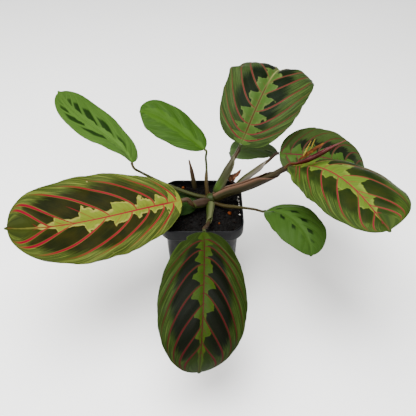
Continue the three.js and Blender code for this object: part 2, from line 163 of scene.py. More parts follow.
# The law of a blade's side veins: the share of the way to the tip that a vein at the base gains,
# how fast that grows along the spine, how strongly a vein bows forward, and how fast that eases.
GROWN_LAW = (0.05, 4.5, 2.9, 3.6)
LOW_LAW = (0.2, 2.2, 2.7, 1.4)
YOUNG_LAW = (0.1, 4, 2.4, 2.6)

# The side veins of a blade, on its left and right half: where each leaves the midrib, as a share
# of the spine. The spaces before, between and after them each have a pale reach beside the
# midrib and a dark reach beyond it, as shares of the half width, and the dark one's strength.
# fork: the space of a half that has a short vein in its middle, and how far out that runs.
EVEN = [0.3] * 5
NONE = [0] * 5
VEINS = {
    "left": dict(
        law=GROWN_LAW, fork={"left": (3, 0.26), "right": (4, 0.36)},
        left=[0.05, 0.11, 0.2, 0.3, 0.45, 0.61, 0.76],
        left_pale=[0.9, 0.34, 0.26, 0.25, 0.3, 0.26, 0.22, 0.02],
        left_dark=[0.5, 0.5, 0.6, 0.74, 0.74, 0.7, 0.6, 0.44],
        left_depth=[0, 0, 0.9, 1, 1, 1, 1, 0.4],
        right=[0.03, 0.08, 0.16, 0.27, 0.43, 0.62, 0.76],
        right_pale=[0.9, 0.4, 0.34, 0.32, 0.3, 0.27, 0.22, 0.02],
        right_dark=[0.9, 0.7, 0.8, 0.72, 0.68, 0.66, 0.6, 0.44],
        right_depth=[0, 0, 0.8, 1, 1, 1, 1, 0.5]),
    "front": dict(
        law=GROWN_LAW, fork={"left": (3, 0.1), "right": (2, 0.1)},
        left=[0.06, 0.11, 0.19, 0.31, 0.42, 0.56, 0.72],
        left_pale=[0.3, 0.3, 0.26, 0.23, 0.23, 0.2, 0.16, 0.1],
        left_dark=[0.4, 0.4, 0.5, 0.6, 0.64, 0.64, 0.56, 0.3],
        left_depth=[0, 0, 1, 1, 1, 1, 0.95, 0],
        right=[0.07, 0.14, 0.24, 0.37, 0.49, 0.6, 0.74],
        right_pale=[0.3, 0.27, 0.23, 0.24, 0.24, 0.16, 0.14, 0.1],
        right_dark=[0.4, 0.5, 0.6, 0.64, 0.64, 0.62, 0.52, 0.3],
        right_depth=[0, 0.9, 1, 1, 1, 1, 0.95, 0]),
    "back": dict(
        law=GROWN_LAW, fork={"left": (4, 0.1), "right": (4, 0.1)},
        left=[0.03, 0.07, 0.13, 0.24, 0.36, 0.5, 0.65, 0.79],
        left_pale=[0.5, 0.5, 0.42, 0.32, 0.28, 0.24, 0.2, 0.14, 0.1],
        left_dark=[0.5, 0.5, 0.52, 0.58, 0.56, 0.46, 0.34, 0.26, 0.2],
        left_depth=[0, 0, 0.35, 0.95, 1, 1, 1, 1, 0.6],
        right=[0.03, 0.07, 0.13, 0.22, 0.35, 0.46, 0.6, 0.75],
        right_pale=[0.5, 0.5, 0.42, 0.34, 0.3, 0.26, 0.2, 0.14, 0.1],
        right_dark=[0.5, 0.5, 0.48, 0.5, 0.5, 0.46, 0.38, 0.3, 0.2],
        right_depth=[0, 0, 0.85, 1, 1, 1, 1, 1, 0.6]),
    "rear_right": dict(
        law=LOW_LAW, fork={"left": (3, 0.08), "right": (3, 0.08)},
        left=[0.02, 0.11, 0.23, 0.39, 0.54, 0.7, 0.84],
        left_pale=[0.4, 0.4, 0.38, 0.32, 0.3, 0.28, 0.26, 0.2],
        left_dark=[0.4, 0.4, 0.54, 0.5, 0.54, 0.56, 0.52, 0.4],
        left_depth=[0, 0, 1, 1, 1, 1, 0.9, 0.5],
        right=[0.07, 0.17, 0.3, 0.45, 0.6, 0.75],
        right_pale=[0.4, 0.4, 0.35, 0.3, 0.28, 0.24, 0.2],
        right_dark=[0.4, 0.4, 0.55, 0.6, 0.6, 0.55, 0.4],
        right_depth=[0, 0, 1, 1, 1, 1, 0.5]),
    "right": dict(
        law=GROWN_LAW, fork={"left": (3, 0.14)},
        left=[0.07, 0.17, 0.28, 0.45, 0.61, 0.76],
        left_pale=[0.6, 0.5, 0.4, 0.36, 0.34, 0.27, 0.02],
        left_dark=[0.6, 0.5, 0.56, 0.6, 0.58, 0.5, 0.3],
        left_depth=[0, 0, 0.9, 1, 1, 1, 0.2],
        right=[0.06, 0.09, 0.17, 0.3, 0.44, 0.61, 0.82],
        right_pale=[0.5, 0.5, 0.38, 0.32, 0.34, 0.3, 0.24, 0],
        right_dark=[0.5, 0.5, 0.54, 0.56, 0.58, 0.56, 0.5, 0.3],
        right_depth=[0, 0, 0.9, 0.95, 1, 1, 1, 0.1]),
    "far_left": dict(
        law=YOUNG_LAW,
        left=[0.06, 0.24, 0.43, 0.6, 0.74],
        left_pale=[0.4, 0.42, 0.32, 0.32, 0.34, 0.36],
        left_dark=[0.4, 0.4, 0.62, 0.66, 0.62, 0.5],
        left_depth=[0, 0.9, 1, 1, 0.9, 0],
        right=[0.05, 0.12, 0.27, 0.44, 0.6, 0.74, 0.86],
        right_pale=[0.2, 0.22, 0.24, 0.2, 0.15, 0.13, 0.13, 0.2],
        right_dark=[0.2, 0.3, 0.36, 0.48, 0.44, 0.36, 0.3, 0.2],
        right_depth=[0, 0, 0.9, 1, 1, 1, 0.8, 0]),
    "upper": dict(
        law=YOUNG_LAW,
        left=[0.08, 0.26, 0.46, 0.66], left_pale=EVEN, left_dark=EVEN, left_depth=NONE,
        right=[0.1, 0.3, 0.5, 0.7], right_pale=EVEN, right_dark=EVEN,
        right_depth=[0, 0, 0, 0.25, 0]),
    "small_right": dict(
        law=YOUNG_LAW,
        left=[0.08, 0.2, 0.34, 0.5, 0.66, 0.8],
        left_pale=[0.1, 0.16, 0.26, 0.2, 0.14, 0.1, 0.1],
        left_dark=[0.2, 0.32, 0.44, 0.38, 0.3, 0.25, 0.2],
        left_depth=[0, 0.7, 1, 1, 0.9, 0.5, 0],
        right=[0.06, 0.18, 0.36, 0.53, 0.7],
        right_pale=[0.1, 0.14, 0.2, 0.2, 0.2, 0.1],
        right_dark=[0.2, 0.28, 0.34, 0.34, 0.3, 0.2],
        right_depth=[0, 0.8, 1, 0.9, 0.2, 0]),
    "behind": dict(
        law=YOUNG_LAW,
        left=[0.1, 0.3, 0.52, 0.72], left_pale=EVEN, left_dark=[0.4] * 5, left_depth=NONE,
        right=[0.1, 0.32, 0.54, 0.72], right_pale=[0.3, 0.3, 0.3, 0.32, 0.3],
        right_dark=[0.3, 0.3, 0.3, 0.55, 0.3], right_depth=[0, 0, 0, 0.9, 0]),
    "under": dict(
        law=YOUNG_LAW,
        left=[0.1, 0.3, 0.5, 0.7], left_pale=EVEN, left_dark=EVEN, left_depth=NONE,
        right=[0.1, 0.3, 0.5, 0.7], right_pale=EVEN, right_dark=EVEN, right_depth=NONE),
}
NO_FORK = (-9, 0)
FORK_REST = 0.1

# The crown in the soil, the main stem and the stalks: the points of each path, and its radius
# at shares of its length. A stalk ends just short of its blade, in line with the blade's spine,
# and turns into that line over its last few millimetres.
GAP = 0.3
CROWN_FOOT = (7.5, 4.5)
CROWN_RINGS = [(60, 3.5), (74, 4.6), (80, 5.4), (84, 4.8), (86, 3.8), (87, 2.6)]
STALKS = {
    "main_stem": dict(
        path=[(8, 4.5, 82.5), (22, 3.5, 91.7), (36, 1.5, 98.6), (56, -1, 111)], turn=5, blade="right",
        radii=[(0, 4.4), (0.45, 4.2), (0.85, 3.1), (0.96, 1.8), (1, 1.6)]),
    "left": dict(
        path=[(6, 2.5, 81.5), (-1.6, -5, 85.5), (-8.2, -10, 88.8)], turn=5, blade="left",
        radii=[(0, 3), (0.3, 3.6), (0.55, 3), (0.7, 2), (1, 1.7)]),
    "front": dict(
        path=[(7.5, 2, 82), (6.6, -14, 82.8), (5.8, -28, 85.3), (4.2, -37, 88.6)], turn=4,
        blade="front", radii=[(0, 3), (0.2, 2.9), (0.42, 2.1), (0.66, 1.5), (1, 1.5)]),
    "back": dict(
        path=[(9, 5, 84), (12.9, 6, 90.1), (17, 8, 99.3), (22, 12, 108.4), (27.3, 18.5, 115.6)],
        turn=5, blade="back",
        radii=[(0, 2.6), (0.2, 3.6), (0.5, 3.2), (0.72, 2.3), (0.85, 1.7), (1, 1.5)]),
    "rear_right": dict(
        path=[(26, 3.5, 94), (34, 8.5, 99.5), (44.5, 14, 105), (55, 19.5, 110.5)], turn=2,
        blade="rear_right", radii=[(0, 1.8), (0.3, 2.2), (0.6, 2), (0.78, 1.3), (1, 1.3)]),
    "far_left": dict(
        path=[(5, 5, 83), (-6, 5.3, 86), (-19, 7, 90.3), (-36, 9.5, 97.6), (-52.3, 11.5, 106.3)],
        turn=5, blade="far_left", radii=[(0, 1.9), (0.35, 1.6), (0.6, 1.1), (1, 1.1)]),
    "upper": dict(
        path=[(5, 6.5, 82), (3.7, 12, 95.2), (3.9, 18.5, 105.3), (3.3, 22.7, 113)], turn=2,
        blade="upper", radii=[(0, 1.8), (0.4, 1.6), (0.6, 1), (1, 1)]),
    "small_right": dict(
        path=[(8.5, 3, 80.5), (17.1, -3, 81.4), (31.7, -14, 88.4), (43, -24, 94.7)], turn=3,
        blade="small_right", radii=[(0, 1.7), (0.3, 1.6), (0.6, 1.1), (1, 1)]),
    "behind": dict(
        path=[(8.5, 8, 83), (14.8, 18, 87), (21.4, 30, 91.6), (26.4, 40, 98.2)], turn=0.5,
        blade="behind", radii=[(0, 1.4), (0.5, 1.1), (0.85, 0.8), (1, 0.5)]),
    "under": dict(path=[(5, 3.5, 80.2)], turn=3, blade="under", radii=[(0, 1.3), (1, 1.1)]),
}
NODES = {key: key if key == "main_stem" else "stalk_" + key for key in STALKS}
ROLLED_LEAF = dict(
    path=[(66.5, -0.8, 117.6), (69.8, -2.6, 124), (75, -7.8, 128.4), (81, -9.5, 132.3),
          (88, -9.5, 136.2), (98.6, -9, 143.2), (109.9, -8, 149.8)],
    radii=[(0, 0.9), (0.25, 1.1), (0.45, 2.2), (0.65, 2), (1, 0.4)])
ROLL_TURNS = 1.7
ROLL_LAYER = 0.3
DRY_SPIKE = dict(
    path=[(-6.6, 28.3, 72.5), (-7.1, 28.8, 77.6), (-9.7, 30.2, 95), (-11.5, 31, 104.9)],
    radii=[(0, 1.8), (0.3, 2.1), (0.6, 1.8), (0.88, 1), (1, 0.6)])

# The sheaths that clasp the lower stalks: the share of the stalk that each covers, and the side
# where its two thin edges meet, in degrees round the stalk from its right over its top.
SHEATHS = {
    "left": dict(start=0.05, end=0.68, slit=250),
    "front": dict(start=0.08, end=0.64, slit=150),
    "back": dict(start=0.12, end=0.8, slit=330),
    "rear_right": dict(start=0.05, end=0.76, slit=320),
    "main_stem": dict(start=0.06, end=0.84, slit=75),
}

# A sheath wraps so many degrees each way and lies a little clear of its stalk. Its edges lift, and
# from a share of its length on it closes to a point.
SHEATH_WRAP = 174
SHEATH_CELLS = (70, 36)
SHEATH_CLEAR = 0.12
SHEATH_LIFT = 0.4
SHEATH_CLOSES = 0.7
STALK_CUTS = 200

# Settings and outputs that many nodes share.
TIMES = dict(operation="MULTIPLY")
PLUS = dict(operation="ADD")
MINUS = dict(operation="SUBTRACT")
SIZE_OF = dict(operation="ABSOLUTE")
SMOOTH = dict(interpolation_type="SMOOTHSTEP")
MIXED = dict(out=2, data_type="RGBA")
OBJECT = 3
NORMAL = 1
POINTINESS = 7

# The blades' maps hold the spacing of veins in centimetres and lengths in tenths of a metre.
SPACING_MM = 10
SPAN_MM = 100


def linear(code):
    """A colour written as sRGB hex, in linear light."""
    parts = [int(code[place:place + 2], 16) / 255 for place in (0, 2, 4)]
    return tuple(p / 12.92 if p <= 0.04045 else ((p + 0.055) / 1.055) ** 2.4 for p in parts) + (1,)


def add(tree, kind, *sources, at=None, out=0, stops=None, **settings):
    """One node: its settings, its inputs in turn or by name, each a value or another node's output."""
    made = tree.nodes.new("ShaderNode" + kind)
    for name, value in settings.items():
        setattr(made, name, value)
    if stops:
        ramp = made.color_ramp.elements
        while len(ramp) < len(stops):
            ramp.new(0.5)
        for element, (place, code) in zip(ramp, stops):
            element.position = place
            element.color = linear(code)
    for place, source in list(enumerate(sources)) + list((at or {}).items()):
        if isinstance(source, bpy.types.NodeSocket):
            tree.links.new(source, made.inputs[place])
        else:
            made.inputs[place].default_value = source
    return made.outputs[out]


def new_material(name, roughness, ior=1.45, specular=0.5):
    """A material with one shader, whose constants sit on its own sockets, and what adds its nodes."""
    material = bpy.data.materials.new(name)
    material.use_nodes = True
    shader = material.node_tree.nodes["Principled BSDF"]
    shader.inputs["Roughness"].default_value = roughness
    shader.inputs["IOR"].default_value = ior
    shader.inputs["Specular IOR Level"].default_value = specular
    return material, partial(add, material.node_tree)


def coat(material, tone, height=None, strength=0.0, deep=0.0, rough=None):
    """The material with its shader linked: its colour, a bump so many mm deep, and its roughness."""
    tree = material.node_tree
    wanted = {"Base Color": tone, "Roughness": rough}
    if height:
        wanted["Normal"] = add(tree, "Bump", at={"Strength": strength, "Distance": deep * MM,
                                                 "Height": height})
    for name, source in wanted.items():
        if source:
            tree.links.new(source, tree.nodes["Principled BSDF"].inputs[name])
    return material


def grain(scale, detail, rough):
    return {"Scale": scale, "Detail": detail, "Roughness": rough}


def blade_maps(node, *names):
    """The two numbers of each of these maps of a blade, with the spacing of its side veins in mm,
    and how far the nearest vein is."""
    maps = {name: [node("SeparateXYZ", node("UVMap", uv_map=name), out=part) for part in (0, 1)]
            for name in names}
    phase, gap = maps["veins"]
    spacing = node("Math", gap, SPACING_MM, **TIMES)
    maps["veins"] = (phase, spacing)
    turned = node("Math", node("Math", phase, 0.5, **PLUS), operation="FRACT")
    near = node("Math", node("Math", turned, 0.5, **MINUS), **SIZE_OF)
    return maps, node("Math", near, spacing, **TIMES)


def with_veins(node, phase, lines, out, breaks, side):
    """Places for streaks that run with the side veins: so many in each space, and so many breaks
    on the way out."""
    return node("CombineXYZ", node("Math", phase, lines, **TIMES), node("Math", out, breaks, **TIMES),
                side)


def leaf_top(name, look):
    """The upper face of a blade, satin, painted along its own veins."""
    material, node = new_material(name, look["roughness"], specular=look["gloss"])
    paint = {key: linear(value) for key, value in look.items() if isinstance(value, str)}
    maps, vein_off = blade_maps(node, "blade", "veins", "reach", "depth", "span", "middle")
    along, side = maps["blade"]
    phase, spacing = maps["veins"]
    pale_reach, dark_reach = maps["reach"]
    dark_depth, fork_reach = maps["depth"]
    across_mm, along_mm = (node("Math", part, SPAN_MM, **TIMES) for part in maps["span"])
    between = node("Math", phase, operation="FRACT")
    across = node("Math", node("Math", node("Math", side, 0.5, **MINUS), **SIZE_OF), 2, **TIMES)

    # side veins, widest halfway out and finer towards the tip, blurred by 0.2 mm each way
    swell = node("Math", node("Math", across, math.pi, **TIMES), operation="SINE")
    vein_half = node("Math", swell, look["vein_swell"], look["vein_half"], operation="MULTIPLY_ADD")
    finer = node("MapRange", along, 0.55, 0.95, 1, look["vein_taper"])
    vein_edge = node("Math", vein_off, node("Math", vein_half, finer, **TIMES), **MINUS)
    vein = node("MapRange", vein_edge, -0.22, 0.22, 1, 0, **SMOOTH)
    vein_end = node("MapRange", across, look["vein_stop"], look["vein_stop"] + 0.24, 1, 0, **SMOOTH)
    vein_end = node("Math", vein_end, node("MapRange", along, 0.93, 0.97, 1, 0), **TIMES)
    vein = node("Math", vein, vein_end, **TIMES)
    border = node("MapRange", vein_edge, 0.1, look["border"], 1, 0, **SMOOTH)

    # streaks some 1 mm apart, hair lines a little closer, teeth of 5 mm and clouds of 14 mm
    streak = node("TexNoise", with_veins(node, phase, 17, across, 1.8, side), at=grain(1, 3, 0.65))
    hair_line = node("TexNoise", with_veins(node, phase, 24, across, 4, side), at=grain(1, 2, 0.5))
    flat = node("CombineXYZ", along_mm, across_mm, side)
    teeth = node("TexNoise", flat, at=grain(0.22, 1, 0.4))
    cloud = node("TexNoise", flat, at=grain(0.07, 2, 0.5))

    # green ground, lighter and darker in clouds, with pale streaks towards the margin
    ground = node("Mix", at={0: cloud, 6: paint["ground_dark"], 7: paint["ground"]}, **MIXED)
    outer = node("MapRange", across, 0.2, 0.5, 0.3, 1)
    streaks = node("Math", node("MapRange", streak, 0.5, 0.6, 0, look["streaks"]), outer, **TIMES)
    ground = node("Mix", at={0: streaks, 6: ground, 7: paint["streak"]}, **MIXED)
    hairs = node("MapRange", hair_line, 0.4, 0.62, 0, 0.55)
    ground = node("Mix", at={0: hairs, 6: ground, 7: paint["ground_dark"]}, **MIXED)

    # dark blotch in each space, ending outwards in feathered streaks
    feather = node("Math", node("Math", streak, 0.5, **MINUS), look["feather"], **TIMES)
    slant = node("Math", node("Math", between, 0.5, **MINUS), -0.1, **TIMES)
    dark_end = node("Math", node("Math", dark_reach, feather, **PLUS), slant, **PLUS)
    dark = node("MapRange", node("Math", across, dark_end, **MINUS), -0.045, 0.045, 1, 0, **SMOOTH)
    hem = node("MapRange", between, 1 - look["hem"], 1.07 - look["hem"], 0, 1, **SMOOTH)
    hem_far = node("MapRange", between, look["hem"] - 0.07, look["hem"], 1, 0, **SMOOTH)
    for share in (hem, hem_far, dark_depth):
        dark = node("Math", dark, share, **TIMES)
    warmth = node("MapRange", cloud, 0.38, 0.66, 0, 0.8)
    dark_tone = node("Mix", at={0: warmth, 6: paint["dark"], 7: paint["dark_warm"]}, **MIXED)
    lit_lines = node("MapRange", hair_line, 0.5, 0.66, 0, 0.07)
    dark_tone = node("Mix", at={0: lit_lines, 6: dark_tone, 7: paint["ground"]}, **MIXED)

    # pale band along the midrib, cut in lobes: each is widest just before it stops
    space = node("Math", phase, operation="FLOOR")
    nicked = node("Math", node("Math", teeth, 0.5, **MINUS), 0.25, **TIMES)
    ahead = node("Math", node("Math", maps["middle"][0], space, **MINUS), nicked, **PLUS)
    step = node("MapRange", ahead, 0.8, 0.9, 1, look["notch"], **SMOOTH)
    grow = node("MapRange", ahead, 0.1, 0.8, 0.62, 1.12)
    toothed = node("MapRange", teeth, 0.3, 0.7, 0.8, 1.1)
    band_end = pale_reach
    for share in (step, grow, toothed):
        band_end = node("Math", band_end, share, **TIMES)
    past_band = node("Math", across, band_end, **MINUS)
    band = node("MapRange", past_band, -0.012, 0.012, 1, 0, **SMOOTH)
    rim = node("MapRange", past_band, -0.07, -0.01, 0, look["rim_share"])
    band_tone = node("Mix", at={0: rim, 6: paint["band"], 7: paint["rim"]}, **MIXED)
    band_lines = node("MapRange", hair_line, 0.4, 0.7, 0, 0.35)
    band_tone = node("Mix", at={0: band_lines, 6: band_tone, 7: paint["ground"]}, **MIXED)

    # small cream scars, about 1 mm across, in one in seven of the 6 mm cells
    scar_from = node("TexVoronoi", flat, at={"Scale": 0.16})
    scar_pick = node("SeparateColor", node("TexVoronoi", flat, at={"Scale": 0.16}, out=1))
    scar_size = node("MapRange", scar_pick, 0.86, 1, 0, look["scars"])
    scar = node("MapRange", node("Math", scar_from, scar_size, **MINUS), -0.03, 0.03, 1, 0)
    scar = node("Math", scar, node("MapRange", scar_pick, 0.86, 0.88, 0, 0.75), **TIMES)

    # side veins over their pale borders, and the short forks between them
    border = node("Math", node("Math", border, vein_end, **TIMES), look["border_share"], **TIMES)
    paler = node("MapRange", across, 0.45, look["vein_stop"] + 0.1, 0, 0.8)
    vein_tone = node("Mix", at={0: paler, 6: paint["vein"], 7: paint["vein_pale"]}, **MIXED)
    fork_off = node("Math", node("Math", between, 0.42, **MINUS), **SIZE_OF)
    fork = node("MapRange", node("Math", fork_off, spacing, **TIMES), 0.1, 0.45, 1, 0, **SMOOTH)
    fork_end = node("MapRange", node("Math", across, fork_reach, **MINUS), -0.06, 0.02, 1, 0)
    fork = node("Math", node("Math", fork, fork_end, **TIMES), look["fork"], **TIMES)

    # midrib, narrower towards the tip, over its own pale border
    rib_half = node("MapRange", along, 0, 1, look["rib_half"], 0.25)
    rib_edge = node("Math", across_mm, rib_half, **MINUS)
    rib_border = node("MapRange", rib_edge, 0.1, 1.3, look["border_share"], 0, **SMOOTH)
    rib_border = node("Math", rib_border, node("MapRange", along, 0.7, 0.92, 1, 0), **TIMES)
    rib = node("MapRange", rib_edge, -0.2, 0.25, 1, 0, **SMOOTH)
    rib_tone = node("ValToRGB", along, stops=[(place, look[tone]) for place, tone in look["rib"]])

    # the layers of paint over the ground, from the lowest to the uppermost
    painted = ground
    for share, tone in ((dark, dark_tone), (band, band_tone), (scar, linear(SCAR_CREAM)),
                        (border, paint["border_tone"]), (vein, vein_tone), (fork, paint["vein"]),
                        (rib_border, paint["border_tone"]), (rib, rib_tone)):
        painted = node("Mix", at={0: share, 6: painted, 7: tone}, **MIXED)

    # faint ribbing with the hair lines, and the veins sunk a little
    height = node("Math", node("Math", hair_line, 0.6, **TIMES), node("Math", vein, -0.8, **TIMES),
                  **PLUS)
    return coat(material, painted, height, 0.55, 0.3)


def leaf_underside(name, look):
    """The lower face of a blade: paler and duller, with the veins standing out."""
    material, node = new_material(name, 0.65, specular=0.08)
    paint = {key: linear(value) for key, value in look.items()}
    maps, vein_off = blade_maps(node, "blade", "veins", "span")
    phase, side = maps["veins"][0], maps["blade"][1]
    across_mm = node("Math", maps["span"][0], SPAN_MM, **TIMES)
    vein = node("MapRange", vein_off, 0.3, 0.9, 1, 0, **SMOOTH)
    rib = node("MapRange", across_mm, 0.7, 1.5, 1, 0, **SMOOTH)
    lines = node("Math", vein, rib, operation="MAXIMUM")
    streak = node("TexNoise", with_veins(node, phase, 34, side, 8, side), at=grain(1, 3, 0.6))
    cloud = node("TexNoise", node("TexCoord", out=OBJECT), at=grain(60, 2, 0.5))
    tone = node("Mix", at={0: cloud, 6: paint["pale"], 7: paint["flush"]}, **MIXED)
    shaded = node("MapRange", streak, 0.35, 0.7, 0, 0.5)
    tone = node("Mix", at={0: shaded, 6: tone, 7: paint["shade"]}, **MIXED)
    tone = node("Mix", at={0: node("Math", lines, 0.75, **TIMES), 6: tone, 7: paint["vein"]}, **MIXED)
    height = node("Math", node("Math", streak, 0.5, **TIMES), lines, **PLUS)
    return coat(material, tone, height, 0.4, 0.25)


def stalk_skin(name, stops, edge=None, edge_share=0.0, roughness=0.45, lines=30.0, strength=0.3,
               top=None, top_share=0.0, top_from=0.4):
    """The skin of a stalk or sheath: its colours from foot to end, so many fine ribs round it, a
    pale thin edge on a sheath, and another tone on its upper side."""
    material, node = new_material(name, roughness, specular=0.15)
    share, turn = (node("SeparateXYZ", node("UVMap", uv_map="run"), out=part) for part in (0, 1))
    ribs_at = node("CombineXYZ", node("Math", share, 3, **TIMES), node("Math", turn, lines, **TIMES), 0)
    ribs = node("TexNoise", ribs_at, at=grain(1, 3, 0.6))
    cloud = node("TexNoise", node("TexCoord", out=OBJECT), at=grain(220, 3, 0.6))
    shift = node("Math", node("Math", cloud, 0.5, **MINUS), 0.14, **TIMES)
    tone = node("ValToRGB", node("Math", share, shift, **PLUS), stops=stops)
    # the side that faces up takes another tone: on the rolled leaf a painted highlight, on the main
    # stem's sheath partly painted light
    if top:
        above = node("SeparateXYZ", node("NewGeometry", out=NORMAL), out=2)
        on_top = node("MapRange", above, top_from, top_from + 0.25, 0, top_share)
        tone = node("Mix", at={0: on_top, 6: tone, 7: linear(top)}, **MIXED)
    darker = node("MapRange", ribs, 0.4, 0.62, 0, 0.45)
    tone = node("Mix", at={0: darker, 6: tone, 7: linear(RIB_SHADE)}, **MIXED)
    if edge:
        off_edge = node("Math", node("Math", turn, 0.5, **MINUS), **SIZE_OF)
        rim = node("MapRange", off_edge, 0.5 - edge_share, 0.5 - edge_share * 0.35, 0, 0.9)
        tone = node("Mix", at={0: rim, 6: tone, 7: linear(edge)}, **MIXED)
    return coat(material, tone, ribs, strength, 0.3)


def dry_tissue(name, codes, scale=260.0, roughness=0.75, strength=0.5):
    """Dried leaf: mottled, 4 mm at the usual scale, with a papery wrinkle of half that."""
    material, node = new_material(name, roughness, specular=0.1)
    place = node("TexCoord", out=OBJECT)
    mottle = node("TexNoise", place, at=grain(scale, 4, 0.65))
    tone = node("ValToRGB", mottle, stops=list(zip((0.3, 0.48, 0.64), codes)))
    wrinkle = node("TexNoise", place, at=grain(scale * 2.2, 3, 0.6))
    return coat(material, tone, wrinkle, strength, 0.35)


def moulded_pot():
    """Injection moulded polypropylene, black: a satin skin with a fine orange-peel grain, lighter
    grey along its edges as a painted highlight, and dulled in greyer patches of 14 mm by dried
    dust and a painted sheen. The scuffs are 3 mm wide and run down the walls, and the peel is
    0.7 mm, as fine as shows."""
    material, node = new_material("moulded black polypropylene", 0.4, ior=1.49, specular=0.12)
    place = node("TexCoord", out=OBJECT)
    # greyer, duller patches: dried dust, and in part a painted sheen
    dust_and_sheen = node("TexNoise", place, at=grain(70, 6, 0.7))
    stretched = node("Mapping", place, at={"Scale": (380, 380, 30)})
    scuff = node("TexNoise", stretched, at=grain(1, 3, 0.6))
    tone = node("ValToRGB", dust_and_sheen, stops=[(0.35, "020203"), (0.6, "040506"), (0.78, "0b0c0e")])
    scuffs = node("MapRange", scuff, 0.6, 0.8, 0, 0.3)
    tone = node("Mix", at={0: scuffs, 6: tone, 7: linear("111214")}, **MIXED)
    # lighter grey on the sharp edges: a painted highlight
    edge = node("MapRange", node("NewGeometry", out=POINTINESS), 0.53, 0.6, 0, 0.5)
    tone = node("Mix", at={0: edge, 6: tone, 7: linear("1e1f22")}, **MIXED)
    peel = node("TexNoise", place, at=grain(1500, 2, 0.5))
    return coat(material, tone, peel, 0.12, 0.1, rough=node("MapRange", dust_and_sheen, 0.3, 0.75, 0.34, 0.6))


def damp_peat(name, codes):
    """Milled black peat, damp: near black and matt, with brown fibres of 1.6 mm and here and there
    a glint."""
    material, node = new_material(name, 0.85, specular=0.1)
    place = node("TexCoord", out=OBJECT)
    fibre = node("TexNoise", place, at=grain(620, 6, 0.7))
    tone = node("ValToRGB", fibre, stops=list(zip((0.36, 0.56, 0.74), codes)))
    wet = node("TexNoise", place, at=grain(300, 2, 0.5))
    return coat(material, tone, fibre, 0.9, 0.6, rough=node("MapRange", wet, 0.4, 0.7, 0.95, 0.5))


def put(name, data):
    """An object in the scene that shows this data."""
    made = bpy.data.objects.new(name, data)
    bpy.context.collection.objects.link(made)
    return made


def finish_piece(mesh, name, nodes, materials, thick=0.0):
    """A finished mesh as a piece of the plant: placed in metres, dressed, and riding on its body."""
    bmesh.ops.scale(mesh, vec=(MM, MM, MM), verts=mesh.verts)
    data = bpy.data.meshes.new(name)
    mesh.to_mesh(data)
    mesh.free()
    for face in data.polygons:
        face.use_smooth = True
    piece = put(name, data)
    for material in materials:
        data.materials.append(material)
    if thick:
        wall = piece.modifiers.new("thickness", "SOLIDIFY")
        wall.thickness = thick * MM
        wall.offset = 0
        wall.material_offset = len(materials) - 1
        wall.material_offset_rim = 0
    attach(piece, "root")
    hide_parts(*nodes)


def spine_point(spine, t):
    a, b, c, d = (Vector(point) for point in spine)
    u = 1 - t
    return a * u ** 3 + b * 3 * u * u * t + c * 3 * u * t * t + d * t ** 3


def spine_heading(spine, t):
    a, b, c, d = (Vector(point) for point in spine)
    u = 1 - t
    return ((b - a) * u * u + (c - b) * 2 * u * t + (d - c) * t * t).normalized()


def row_place(step, rows):
    """The share of the spine at a row of a blade's grid: rows crowd at both ends of its oval."""
    return 1 if step == rows else OVAL_END * (1 - math.cos(math.pi * step / (rows - 1))) / 2


def half_width(leaf, t):
    oval = min(1, t / OVAL_END) ** leaf["ease"] if t > 0 else 0
    width = leaf["half"] * max(0, 4 * oval * (1 - oval)) ** leaf["blunt"]
    nib = leaf.get("nib", NIB_WIDTH)
    tip = nib * (min(1, (1 - t) / NIB_SHARE) + 0.45)
    root = nib * 0.8 * max(0, 1 - t / NIB_SHARE)
    return max(width, tip, root)


def blade_point(leaf, t, across):
    """A point in the middle of the blade's thickness, its upward normal, and how far out it lies."""
    spine = leaf["spine"]
    along = spine_heading(spine, t)
    heading = math.atan2(spine[3][1] - spine[0][1], spine[3][0] - spine[0][0])
    aside = Vector((-math.sin(heading), math.cos(heading), 0))
    aside = (aside - along * aside.dot(along)).normalized()
    over = along.cross(aside)
    turn = math.radians(leaf["roll"][0] + (leaf["roll"][1] - leaf["roll"][0]) * t)
    left = aside * math.cos(turn) + over * math.sin(turn)
    rise = over * math.cos(turn) - aside * math.sin(turn)
    side = 1 if across >= 0 else -1
    curl = leaf["curl"] + (leaf.get("extra", 0) if across > 0 else 0)
    run = abs(across) * half_width(leaf, t) * (leaf.get("wide", 1) if across > 0 else 1)
    bend = max(math.radians(curl), 1e-4) / leaf["half"]
    fold = math.radians(leaf["fold"])
    slope = fold - bend * run
    out = (math.sin(fold) - math.sin(slope)) / bend
    ripple = math.sin(2 * math.pi * leaf["waves"] * t + side) * across * across * leaf["wave"]
    height = (math.cos(slope) - math.cos(fold)) / bend + ripple * math.sin(math.pi * t)
    point = spine_point(spine, t) + left * side * out + rise * height
    lift = rise if across == 0 else rise * math.cos(slope) - left * side * math.sin(slope)
    return point, lift, run


def vein_place(start, across, law):
    """Where a side vein has got to along the spine, and how fast it moves on, at a share of the
    half width."""
    first, gain, bow, ease = law
    way = (1 - start) * (1 - (1 - first) * math.exp(-gain * start))
    power = max(bow - ease * start, 0.7)
    reached = max(across, 1e-4)
    return start + way * reached ** power, way * power * reached ** (power - 1)


def among_veins(starts, t, across, law):
    """The place among the side veins as the number of the vein before and the share to the next,
    the gap between the two, and how fast the one before moves on."""
    places = [vein_place(start, across, law) for start in starts]
    if t < places[0][0]:
        gap = places[1][0] - places[0][0]
        return max(-0.5, (t - places[0][0]) / gap), gap, places[0][1]
    for number in range(len(starts) - 1):
        gap = places[number + 1][0] - places[number][0]
        if t < places[number + 1][0]:
            return number + (t - places[number][0]) / gap, gap, places[number][1]
    gap = places[-1][0] - places[-2][0]
    last = len(starts) - 1
    return min(last + 0.5, last + (t - places[-1][0]) / gap), gap, places[-1][1]


def between_values(values, phase):
    """A value given for each space between veins, changing smoothly from one to the next."""
    place = min(max(phase + 0.5, 0), len(values) - 1)
    number = min(int(place), len(values) - 2)
    share = place - number
    return values[number] * (1 - share) + values[number + 1] * share


